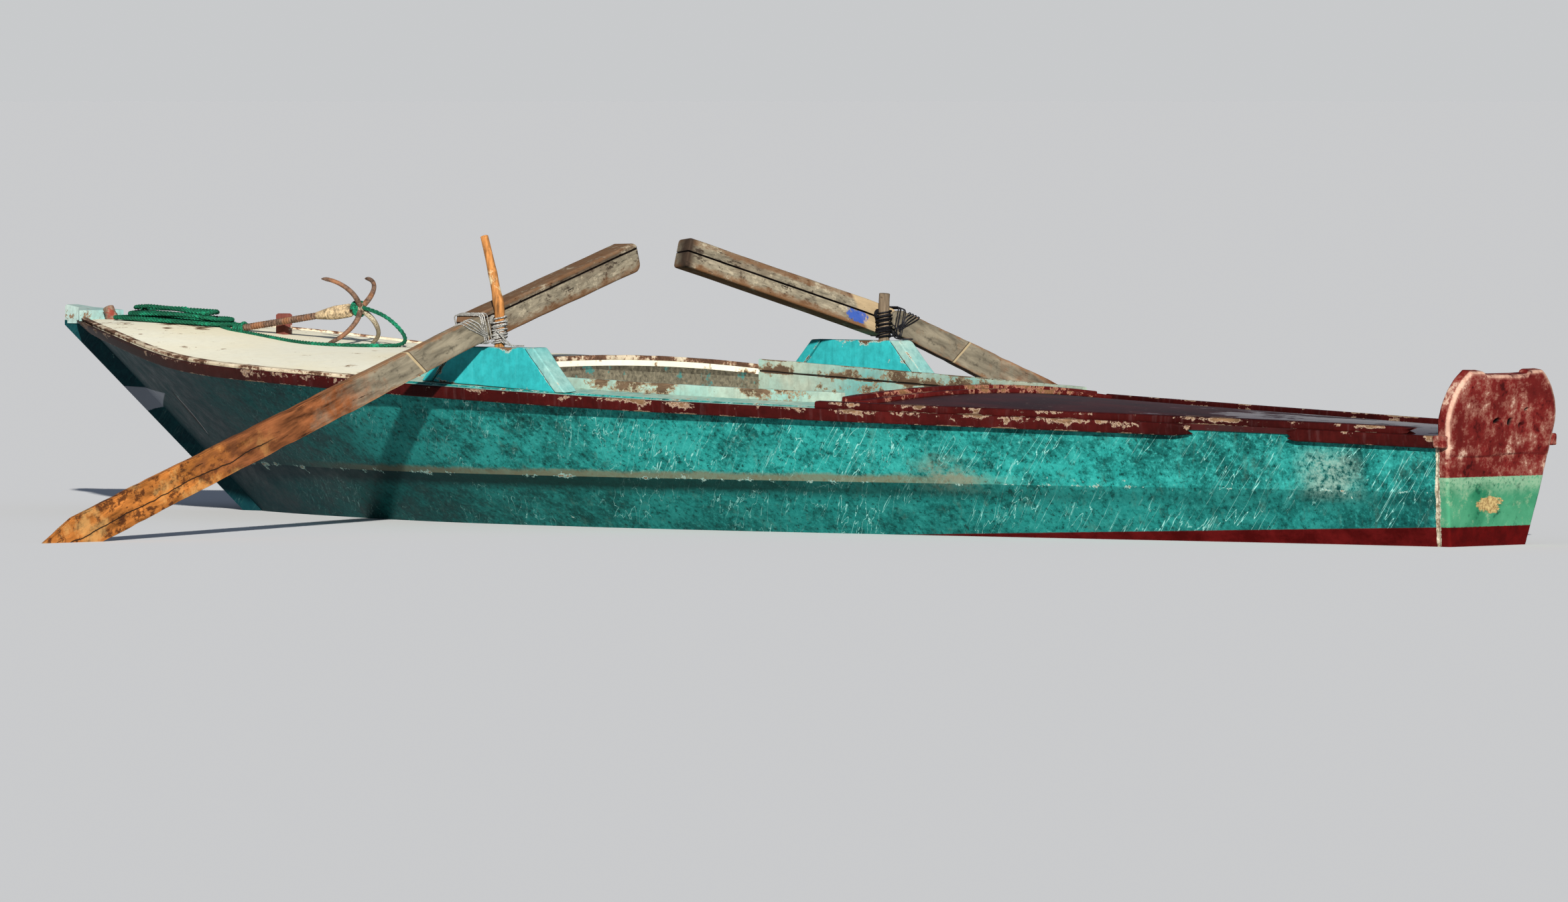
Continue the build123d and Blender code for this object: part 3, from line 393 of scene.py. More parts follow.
class Graph:
    """A material's nodes: each is added with its inputs set or linked by name."""

    def __init__(self, name):
        self.material = bpy.data.materials.new(name)
        self.material.use_nodes = True
        self.tree = self.material.node_tree
        self.tree.nodes.clear()
        self.at = 0
        self.split = {}

    def add(self, kind, inputs=None, **settings):
        node = self.tree.nodes.new("ShaderNode" + kind)
        node.location = (self.at * 180 % 2400, -(self.at * 180 // 2400) * 260)
        self.at += 1
        for label, value in settings.items():
            setattr(node, label, value)
        for label, value in (inputs or {}).items():
            socket = node.inputs[label]
            if isinstance(value, bpy.types.NodeSocket):
                self.tree.links.new(value, socket)
            else:
                socket.default_value = value
        return node

    def where(self, scale=(1, 1, 1), turn=(0, 0, 0), source="Object"):
        """Object coordinates, or a vector layer of the piece's own, turned and then stretched."""
        if source == "Object":
            if not hasattr(self, "coordinates"):
                self.coordinates = self.add("TexCoord")
            vector = self.coordinates.outputs["Object"]
        else:
            vector = self.add("Attribute", attribute_name=source).outputs["Vector"]
        if any(turn):
            vector = self.add("Mapping", {"Vector": vector, "Rotation": turn}).outputs["Vector"]
        return self.add("Mapping", {"Vector": vector, "Scale": scale}).outputs["Vector"]

    def noise(self, scale, stretch=(1, 1, 1), detail=4.0, rough=0.55, turn=(0, 0, 0), twist=0.0,
              source="Object"):
        return self.add("TexNoise", {"Vector": self.where(stretch, turn, source), "Scale": scale,
                                     "Detail": detail, "Roughness": rough,
                                     "Distortion": twist}).outputs["Fac"]

    def span(self, value, low, high, out_low=0.0, out_high=1.0):
        """The value mapped from one range to another and held inside it."""
        return self.add("MapRange", {"Value": value, "From Min": low, "From Max": high, "To Min": out_low,
                                     "To Max": out_high}).outputs["Result"]

    def math(self, operation, a, b=0.0):
        return self.add("Math", {0: a, 1: b}, operation=operation).outputs[0]

    def mix(self, share, a, b):
        """Colour a to colour b by a share; a colour is a socket or three numbers."""
        node = self.add("Mix", data_type="RGBA")
        for socket, value in ((node.inputs[0], share), (node.inputs[6], a), (node.inputs[7], b)):
            if isinstance(value, bpy.types.NodeSocket):
                self.tree.links.new(value, socket)
            elif socket.type == "RGBA":
                socket.default_value = (*value[:3], 1)
            else:
                socket.default_value = value
        return node.outputs[2]

    def attribute(self, name):
        """A number layer of the piece's own."""
        return self.add("Attribute", attribute_name=name).outputs["Fac"]

    def part(self, axis, source="Object"):
        """One of the object coordinates, or of a vector layer, in metres."""
        if source not in self.split:
            self.split[source] = self.add("SeparateXYZ", {"Vector": self.where(source=source)})
        return self.split[source].outputs[axis]

    def sum(self, *terms):
        """The terms added up."""
        total = terms[0]
        for term in terms[1:]:
            total = self.math("ADD", total, term)
        return total

    def less(self, value, other):
        return self.math("SUBTRACT", value, other)

    def times(self, value, factor):
        return self.math("MULTIPLY", value, factor)

    def size(self, value):
        """The value without its sign."""
        return self.math("ABSOLUTE", value)

    def square(self, value, middle, reach):
        """The square of a value's distance from a middle, counted in reaches."""
        return self.math("POWER", self.math("DIVIDE", self.less(value, middle), reach), 2.0)

    def inside(self, value, low, high, soft):
        """One between two values and zero outside them, with soft ends."""
        return self.times(self.span(value, low - soft, low + soft),
                          self.span(value, high + soft, high - soft))

    def jitter(self, noise, size):
        """A noise from 0 to 1 as a distance either way."""
        return self.times(self.less(noise, 0.5), size)

    def over(self, colour, tint, value, low, high, share=1.0):
        """The tint laid over a colour, up to a share, as the value goes from one number to another."""
        return self.mix(self.span(value, low, high, 0.0, share), colour, tint)

    def mottle(self, noise, dark, light, low=0.4, high=0.6):
        """Two colours mixed by a noise, as it goes from one number to another."""
        return self.mix(self.span(noise, low, high), dark, light)

    def bump(self, height, strength, distance):
        """The surface's direction over small heights and hollows."""
        inputs = {"Height": height, "Strength": strength, "Distance": distance}
        return self.add("Bump", inputs).outputs["Normal"]

    def done(self, colour, roughness, normal=None, metallic=0.0, specular=0.5, ior=1.2):
        """The finished material."""
        inputs = {"Base Color": colour if isinstance(colour, bpy.types.NodeSocket) else (*colour, 1),
                  "Roughness": roughness, "Metallic": metallic, "Specular IOR Level": specular, "IOR": ior}
        if normal is not None:
            inputs["Normal"] = normal
        shader = self.add("BsdfPrincipled", inputs)
        self.add("OutputMaterial", {"Surface": shader.outputs["BSDF"]})
        return self.material


# Dark and light of the bare wood along the seam between the planks and the transom.
SEAM_WOOD = (0.13, 0.10, 0.06), (0.44, 0.40, 0.31)


def dim(colour, share):
    """A colour made darker, or lighter, by a share."""
    return tuple(c * share for c in colour)


def wood_grain(g, base, along=(1, 12, 12), source="Object", dark=0.35, light=1.5, scale=6.0):
    """Wood colour: stretched noise for the grain, and a broad one for the boards' tone."""
    grain = g.noise(scale, along, detail=8, rough=0.65, twist=0.35, source=source)
    broad = g.noise(1.8, detail=2)
    colour = g.mottle(grain, dim(base, dark), dim(base, light), 0.32, 0.68)
    return g.over(colour, dim(base, 0.55), broad, 0.35, 0.7, 0.45), grain


def worn_paint(name, paint, second, bare, undercoat, chips=0.5, rough=0.5, streaks=0.3, dirt=0.3, edge=0.14,
               grime=0.5, forward=None):
    """Old paint over wood: tone and streaks in the paint, and chips that bare an undercoat and
    then the wood, more of them near edges."""
    g = Graph(name)
    wood = wood_grain(g, bare)[0]
    tone = g.noise(2.2, detail=5)
    fine = g.noise(34, detail=7, rough=0.72)
    runs = g.noise(5.0, (9, 9, 0.9), detail=6, rough=0.6)
    streak = tuple(min(1, c * 1.5 + 0.10) for c in second)
    colour = g.mottle(tone, paint, second, 0.38, 0.66)
    colour = g.over(colour, dim(paint, 0.40), fine, 0.40, 0.70, grime)
    colour = g.over(colour, streak, runs, 0.55, 0.78, streaks)
    colour = g.over(colour, dim(paint, 0.25), runs, 0.46, 0.26, dirt)
    if forward is not None:
        colour = g.over(colour, forward, g.part("X"), -1.2, -2.4, 0.85)
    patch = g.noise(11, (0.8, 1, 1), detail=9, rough=0.74)
    place = g.noise(1.9, detail=3)
    level = g.sum(patch, g.jitter(place, 0.30), g.times(g.attribute("wear"), edge))
    start = 0.72 - 0.12 * chips
    under = g.span(level, start, start + 0.012)
    deep = g.span(level, start + 0.035, start + 0.047)
    colour = g.mix(under, colour, undercoat)
    colour = g.mix(deep, colour, wood)
    height = g.less(g.times(fine, 0.35), g.sum(under, deep))
    roughness = g.span(g.sum(deep, g.times(fine, 0.3)), 0, 1.2, rough, 0.9)
    return g.done(colour, roughness, g.bump(height, 0.55, 0.0015), specular=0.22)


def bare_wood(name, base, along=(1, 12, 12), dark=0.35, light=1.5, scale=6.0, tint=None):
    """Weathered wood: grain, dark cracks along it and small knots, and patches of a tint."""
    g = Graph(name)
    colour, grain = wood_grain(g, base, along, dark=dark, light=light, scale=scale)
    cracks = g.noise(scale * 2.2, tuple(2.4 * a if a > 2 else 0.8 * a for a in along), detail=6, rough=0.7)
    crack = g.span(cracks, 0.345, 0.31)
    spots = g.noise(38, detail=3)
    colour = g.over(colour, dim(base, 0.25), spots, 0.66, 0.72, 0.7)
    if tint is not None:
        colour = g.over(colour, tint, g.noise(9, detail=6, rough=0.7), 0.56, 0.60, 0.85)
    colour = g.mix(crack, colour, dim(base, 0.08))
    height = g.less(g.times(grain, 0.6), crack)
    return g.done(colour, g.span(grain, 0.3, 0.7, 0.75, 0.92), g.bump(height, 0.7, 0.002))


def hull_paint(name, teal, bare):
    """Teal planks: pale scuffs and scratches, a worn band over the chine, dark weed and painted shade
    under it, a bow darkened as painted shade, and a red stripe at the waterline aft."""
    g = Graph(name)
    x, z = g.part("X"), g.part("Z")
    wood = wood_grain(g, bare)[0]
    tone = g.noise(1.5, (1, 1, 1.8), detail=7, rough=0.62)
    blotch = g.noise(8, (1, 1, 1.4), detail=9, rough=0.74)
    fine = g.noise(55, detail=7, rough=0.78)
    colour = g.mottle(tone, dim(teal, 0.48), dim(teal, 1.15))
    colour = g.mix(g.times(g.span(blotch, 0.50, 0.62), 0.6), colour, (0.026, 0.250, 0.225))
    colour = g.over(colour, dim(teal, 0.20), blotch, 0.50, 0.36, 0.85)
    colour = g.over(colour, (0.036, 0.290, 0.260), fine, 0.53, 0.62, 0.6)
    colour = g.over(colour, dim(teal, 0.10), fine, 0.47, 0.38, 0.85)
    # darker below the chine's height: weed and painted shade under the knuckle
    colour = g.over(colour, dim(teal, 0.20), g.sum(z, g.jitter(tone, 0.10)), 0.20, 0.16, 0.40)
    # grey runs down the planks, and black specks aft of the cockpit
    runs = g.noise(3.4, (7, 7, 1.0), detail=7, rough=0.7, turn=(0, radians(-12), 0))
    colour = g.over(colour, (0.055, 0.120, 0.095), runs, 0.56, 0.72, 0.45)
    specks = g.noise(21, (1, 1, 0.7), detail=8, rough=0.8)
    dark_specks = g.times(g.span(specks, 0.405, 0.37), g.inside(x, 0.9, 2.3, 0.5))
    colour = g.mix(g.times(dark_specks, 0.9), colour, (0.004, 0.020, 0.018))
    # long pale scratches that lean aft
    scratch = g.noise(5.0, (7.0, 2.2, 0.55), detail=3, rough=0.5, turn=(0, radians(-42), 0), twist=0.4)
    lines = g.size(g.less(scratch, 0.5))
    gate = g.span(g.noise(2.6, detail=4, rough=0.6), 0.46, 0.56)
    colour = g.mix(g.times(g.times(g.span(lines, 0.0075, 0.002), gate), 0.9), colour, (0.22, 0.46, 0.42))
    # the beige band over the chine, the bare patch it runs into, and a grey cloud at the stern
    wander = g.jitter(blotch, 1.3)
    band = g.span(g.sum(g.attribute("over_chine"), wander), 0.42, 0.75)
    beige = g.times(band, g.times(g.span(x, 1.8, 1.2), g.span(x, -2.1, -1.2)))
    colour = g.mix(g.times(beige, 0.78), colour, (0.120, 0.105, 0.060))
    ragged_z = g.sum(z, g.jitter(tone, 0.10))
    patch = g.times(g.inside(x, 1.36, 1.60, 0.05), g.inside(ragged_z, 0.17, 0.26, 0.03))
    colour = g.mix(g.times(patch, g.span(blotch, 0.44, 0.56, 0.0, 0.65)), colour, (0.15, 0.13, 0.085))
    cloud = g.times(g.inside(x, 2.88, 3.08, 0.05), g.inside(z, 0.17, 0.31, 0.03))
    colour = g.mix(g.times(g.times(cloud, g.span(fine, 0.42, 0.56)), 0.75), colour, (0.17, 0.25, 0.21))
    # weed and painted shade under the chine, fading aft
    weed_and_shade = g.sum(g.attribute("under_chine"), g.jitter(blotch, 0.9))
    dark = g.times(g.span(weed_and_shade, 0.30, 0.75), g.span(x, 2.4, 0.6, 0.25, 0.92))
    colour = g.mix(dark, colour, (0.003, 0.016, 0.014))
    # the bow is darkened toward a blue-black as painted shade, with a dark slot and a grey patch on each side
    bow = g.span(g.sum(x, g.jitter(tone, 0.5)), -0.3, -2.2)
    colour = g.mix(g.times(bow, 0.90), colour, (0.002, 0.014, 0.021))
    drift = g.sum(x, g.times(z, 0.10))
    offset = g.size(g.math("ADD", drift, 2.468))
    lens = g.less(0.021, g.times(g.square(z, 0.362, 0.090), 0.021))
    # the slot is painted near black: painted shade inside the slit
    slot = g.times(g.span(g.less(lens, offset), -0.001, 0.002), g.inside(z, 0.27, 0.455, 0.002))
    colour = g.mix(slot, colour, (0.002, 0.004, 0.004))
    rim = g.times(g.inside(g.less(lens, offset), 0.0035, 0.0075, 0.001), g.inside(z, 0.285, 0.425, 0.004))
    colour = g.mix(g.times(g.times(rim, g.span(drift, -2.470, -2.466)), 0.9), colour, (0.42, 0.42, 0.44))
    low = g.less(g.sum(z, g.jitter(fine, 0.012)), g.sum(g.times(g.math("ADD", x, 2.949), 0.198), 0.375))
    high = g.less(g.sum(g.times(g.math("ADD", x, 3.045), -0.031), 0.446), z)
    wedge = g.times(g.span(low, 0.0, 0.003), g.span(high, 0.0, 0.003))
    colour = g.mix(g.times(wedge, g.span(x, -2.66, -2.68)), colour, (0.15, 0.17, 0.20))
    # chips that bare an undercoat and then the wood
    chips = g.sum(g.noise(13, detail=9, rough=0.76), g.times(g.attribute("wear"), 0.12))
    chip = g.span(chips, 0.665, 0.675)
    colour = g.mix(chip, colour, (0.22, 0.37, 0.33))
    colour = g.over(colour, wood, chips, 0.70, 0.71)
    # the boot stripe, and the bare seam at the transom
    top = g.times(g.span(x, 1.1, 3.4), 0.068)
    edge = g.sum(g.less(top, z), g.jitter(fine, 0.006))
    stripe = g.times(g.span(edge, 0.0, 0.003), g.span(x, 1.0, 1.2))
    colour = g.mix(stripe, colour, g.mottle(blotch, (0.030, 0.001, 0.001), (0.060, 0.003, 0.003)))
    seam = g.less(x, g.sum(g.times(z, TRANSOM_RUN), 3.374))
    bare_seam = g.times(g.span(g.sum(seam, g.jitter(blotch, 0.030)), 0.0, 0.002), g.span(z, 0.36, 0.34))
    colour = g.mix(bare_seam, colour, g.mottle(fine, *SEAM_WOOD))
    height = g.sum(g.times(blotch, 0.6), g.times(fine, 0.35))
    normal = g.bump(g.less(height, g.sum(chip, g.times(slot, 3.0))), 0.55, 0.003)
    return g.done(colour, g.span(blotch, 0.3, 0.7, 0.36, 0.66), normal, specular=0.4, ior=1.12)


def transom_paint(name, red, bare):
    """The transom: dark red above and at the waterline, green between, all of it chipped."""
    g = Graph(name)
    x, z, y = g.part("X"), g.part("Z"), g.part("Y")
    wood = wood_grain(g, bare, (12, 1, 12))[0]
    blotch = g.noise(17, detail=9, rough=0.76)
    clump = g.noise(5, detail=5, rough=0.6)
    fine = g.noise(80, detail=6, rough=0.75)
    height = g.sum(z, g.jitter(fine, 0.006))
    red_paint = g.mottle(clump, dim(red, 0.75), dim(red, 1.45), 0.35, 0.65)
    scuffed = g.sum(blotch, g.jitter(clump, 0.30), g.times(g.attribute("wear"), 0.05))
    red_paint = g.over(red_paint, (0.17, 0.065, 0.048), scuffed, 0.48, 0.56, 0.8)
    red_paint = g.over(red_paint, (0.36, 0.25, 0.19), scuffed, 0.58, 0.63, 0.85)
    red_paint = g.over(red_paint, (0.018, 0.002, 0.002), blotch, 0.44, 0.37, 0.85)
    # pale along the aft face's rounded rim: worn paint and a painted highlight on the edge
    shoulder = g.times(g.attribute("rim"), g.span(blotch, 0.36, 0.50))
    red_paint = g.mix(g.times(shoulder, 0.75), red_paint, (0.38, 0.24, 0.18))
    green = g.mottle(clump, (0.012, 0.105, 0.052), (0.045, 0.190, 0.105), 0.36, 0.62)
    pale = g.times(g.span(g.sum(z, g.jitter(clump, 0.12)), 0.17, 0.215), g.span(fine, 0.36, 0.5))
    green = g.mix(pale, green, (0.14, 0.25, 0.16))
    green = g.over(green, (0.20, 0.27, 0.17), blotch, 0.56, 0.66, 0.6)
    green = g.over(green, (0.003, 0.030, 0.018), g.sum(blotch, g.jitter(clump, 0.25)), 0.44, 0.34, 0.85)
    # ochre wood where the green is scraped off, just to port of the middle
    reach = g.sum(g.square(y, -0.012, 0.085), g.square(z, 0.140, 0.050))
    scraped = g.noise(24, (1, 0.32, 1.5), detail=8, rough=0.70, turn=(radians(8), 0, 0))
    bared = g.mottle(fine, (0.15, 0.090, 0.035), (0.36, 0.27, 0.12))
    green = g.over(green, bared, g.sum(scraped, g.span(reach, 1.3, 0.0, -0.20, 0.10)), 0.50, 0.53)
    colour = g.mix(g.span(height, 0.235, 0.237), green, red_paint)
    stripe = g.span(height, 0.0675, 0.0655)
    colour = g.mix(stripe, colour, g.mottle(blotch, (0.034, 0.001, 0.001), (0.060, 0.002, 0.002)))
    depth = g.less(x, g.sum(g.times(z, TRANSOM_RUN), TRANSOM_FOOT))
    seam = g.times(g.span(g.sum(depth, g.jitter(blotch, 0.050)), 0.014, 0.010), g.span(y, -0.13, -0.14))
    seam = g.times(seam, g.span(z, 0.34, 0.31))
    colour = g.mix(seam, colour, g.mottle(fine, *SEAM_WOOD))
    # the holes are painted near black: painted shade inside them
    colour = g.mix(g.attribute("hole"), colour, (0.003, 0.002, 0.002))
    chips = g.sum(blotch, g.times(g.attribute("wear"), 0.05))
    colour = g.over(colour, wood, chips, 0.735, 0.745)
    normal = g.bump(g.sum(g.times(blotch, 0.9), g.times(fine, 0.25)), 0.6, 0.002)
    return g.done(colour, g.span(blotch, 0.3, 0.7, 0.45, 0.75), normal, specular=0.15)


def blade_wood(name, grey):
    """An oar's plank, by its own length: grey near the pin, dark brown further out, and orange-brown
    where it is wet; a pale slanting joint, and a long crack in its outer half."""
    g = Graph(name)
    out, across = g.part("X", "lie"), g.part("Z", "lie")
    along = (1, 12, 5)
    colour, grain = wood_grain(g, dim(grey, 0.80), along, "lie", 0.30, 1.35, 7.0)
    brown, _ = wood_grain(g, (0.105, 0.036, 0.013), along, "lie", 0.12, 2.3, 7.0)
    wet, _ = wood_grain(g, (0.27, 0.095, 0.020), along, "lie", 0.12, 1.7, 6.0)
    blotch = g.noise(7, detail=7, rough=0.68)
    spots = g.noise(30, (0.7, 1, 1), detail=7, rough=0.72, source="lie")
    colour = g.over(colour, dim(grey, 0.22), spots, 0.56, 0.66, 0.8)
    colour = g.over(colour, (0.15, 0.09, 0.05), blotch, 0.56, 0.66, 0.5)
    rim = g.size(across)
    colour = g.over(colour, (0.19, 0.080, 0.028), g.sum(rim, g.jitter(spots, 0.05)), 0.040, 0.052, 0.6)
    edge = g.sum(out, g.jitter(blotch, 1.1))
    colour = g.over(colour, brown, edge, 0.62, 0.95)
    wet = g.over(wet, (0.030, 0.009, 0.004), spots, 0.50, 0.57, 0.85)
    brown = g.over(brown, (0.012, 0.006, 0.004), spots, 0.49, 0.56, 0.9)
    wet = g.over(wet, (0.40, 0.23, 0.08), blotch, 0.52, 0.62, 0.5)
    colour = g.over(colour, wet, edge, 1.30, 1.62)
    joint = g.less(out, g.sum(g.times(across, 0.656), 0.4425))
    colour = g.mix(g.inside(joint, -0.005, 0.005, 0.001), colour, (0.28, 0.22, 0.13))
    # a dark line on the joint's inboard side: painted shadow of the step
    colour = g.mix(g.inside(joint, -0.009, -0.005, 0.001), colour, (0.03, 0.02, 0.012))
    wander = g.jitter(g.noise(4, (1, 0, 0), detail=5, source="lie"), 0.05)
    split = g.size(g.sum(across, 0.012, wander))
    crack = g.times(g.span(split, 0.0026, 0.0010), g.inside(out, 1.20, 2.3, 0.05))
    fissures = g.noise(9, (0.7, 20, 14), detail=6, rough=0.7, source="lie")
    crack = g.math("MAXIMUM", crack, g.span(fissures, 0.345, 0.315))
    colour = g.mix(crack, colour, (0.014, 0.008, 0.005))
    height = g.less(g.sum(g.times(grain, 0.5), g.times(spots, -0.4)), crack)
    return g.done(colour, g.span(edge, 1.1, 1.6, 0.82, 0.45), g.bump(height, 0.8, 0.003), specular=0.35)


def loom_wood(name, grey, split, fresh=None):
    """A loom's boards: grey weathered wood, dark brown above the split, a dark line of painted shade
    at the split, worn brown along the lower edge, dark at the hand's end; the far loom's outboard
    end is pale, with a smear of blue paint."""
    g = Graph(name)
    out, up = g.part("X", "lie"), g.part("Z", "lie")
    along = (1, 12, 9)
    lower, grain = wood_grain(g, grey, along, "lie", 0.40, 1.45, 7.0)
    brown = (0.105, 0.080, 0.055) if fresh is None else dim(grey, 0.85)
    upper, _ = wood_grain(g, brown, along, "lie", 0.30, 1.7, 7.0)
    colour = g.mottle(up, lower, upper, split - 0.001, split + 0.001)
    spots = g.noise(22, (0.5, 1, 1), detail=9, rough=0.78, source="lie")
    blotch = g.noise(7, (0.5, 1, 1), detail=6, rough=0.6, source="lie")
    colour = g.over(colour, (0.070, 0.046, 0.030), blotch, 0.50, 0.62, 0.65)
    colour = g.over(colour, (0.022, 0.014, 0.010), spots, 0.53, 0.60, 0.9)
    colour = g.over(colour, dim(grey, 1.75), spots, 0.44, 0.38, 0.6)
    low_edge = g.times(g.span(up, -0.052, -0.060), g.span(spots, 0.35, 0.5))
    colour = g.mix(g.times(low_edge, 0.85), colour, (0.17, 0.075, 0.028))
    worn = g.span(g.sum(g.attribute("wear"), g.jitter(spots, 2.2)), 0.7, 1.0, 0.0, 0.7)
    colour = g.mix(worn, colour, (0.12, 0.060, 0.028))
    if fresh is not None:
        end = g.sum(out, g.jitter(blotch, 0.10), g.times(up, 1.1))
        pale, _ = wood_grain(g, fresh, along, "lie", 0.7, 1.2, 5.0)
        colour = g.over(colour, pale, end, -0.11, -0.09)
        smear = g.sum(g.square(out, -0.095, 0.050), g.square(up, -0.030, 0.026))
        blue = g.span(g.sum(smear, g.jitter(g.noise(34, detail=6, rough=0.75), 5.0)), 1.0, 0.7)
        colour = g.mix(g.times(blue, 0.9), colour, (0.018, 0.060, 0.26))
    # darker at the hand's end
    colour = g.over(colour, (0.030, 0.020, 0.014), g.sum(out, g.jitter(spots, 0.04)), -0.885, -0.915)
    fissures = g.noise(10, (0.6, 16, 14), detail=6, rough=0.7, source="lie")
    crack = g.span(fissures, 0.365, 0.33)
    # a dark line either side of the split between the boards: painted shade in the gap
    gap = g.span(g.size(g.less(up, split)), 0.0042, 0.0030)
    colour = g.mix(g.math("MAXIMUM", crack, gap), colour, (0.008, 0.005, 0.004))
    height = g.less(g.sum(g.times(grain, 0.5), g.times(spots, -0.4)), crack)
    return g.done(colour, 0.85, g.bump(height, 0.8, 0.003), specular=0.3)


def wet_deck(name, red):
    """Dark red deck paint: dull near the cockpit, and wet aft, where pools of it mirror the sky."""
    g = Graph(name)
    x = g.part("X")
    blotch = g.noise(5, (0.7, 1.4, 1), detail=7, rough=0.65)
    fine = g.noise(40, detail=6, rough=0.7)
    colour = g.mottle(blotch, dim(red, 0.5), dim(red, 1.2))
    colour = g.over(colour, (0.20, 0.15, 0.13), fine, 0.62, 0.70, 0.7)
    wet = g.span(g.sum(blotch, g.span(x, 1.5, 2.9, -0.25, 0.16)), 0.50, 0.56)
    return g.done(colour, g.span(wet, 0.0, 1.0, 0.60, 0.20), g.bump(fine, 0.15, 0.001), ior=1.33)


def iron_rust(name, base, rust):
    """Rusted iron: orange and dark scale over a brown ground."""
    g = Graph(name)
    blotch = g.noise(60, detail=8, rough=0.75)
    broad = g.noise(13, detail=4)
    colour = g.mottle(blotch, dim(base, 0.35), dim(base, 1.9), 0.38, 0.62)
    colour = g.over(colour, rust, broad, 0.5, 0.64, 0.55)
    return g.done(colour, g.span(blotch, 0.3, 0.7, 0.55, 0.88), g.bump(blotch, 0.8, 0.0015), metallic=0.15)


def rope_fibre(name, dark, light):
    """Twisted fibre: fine noise for the yarns, and a broad one that lightens them in stretches: fading and
    painted highlights.
    """
    g = Graph(name)
    yarn = g.noise(260, detail=4, rough=0.7)
    faded_and_highlight = g.noise(12, detail=4)
    colour = g.mottle(yarn, dim(dark, 0.35), dark, 0.38, 0.64)
    # lighter yarns where both noises run high: fading and painted highlights
    colour = g.over(colour, light, g.sum(yarn, faded_and_highlight), 1.0, 1.22, 0.95)
    return g.done(colour, 0.88, g.bump(yarn, 0.7, 0.001), specular=0.25)


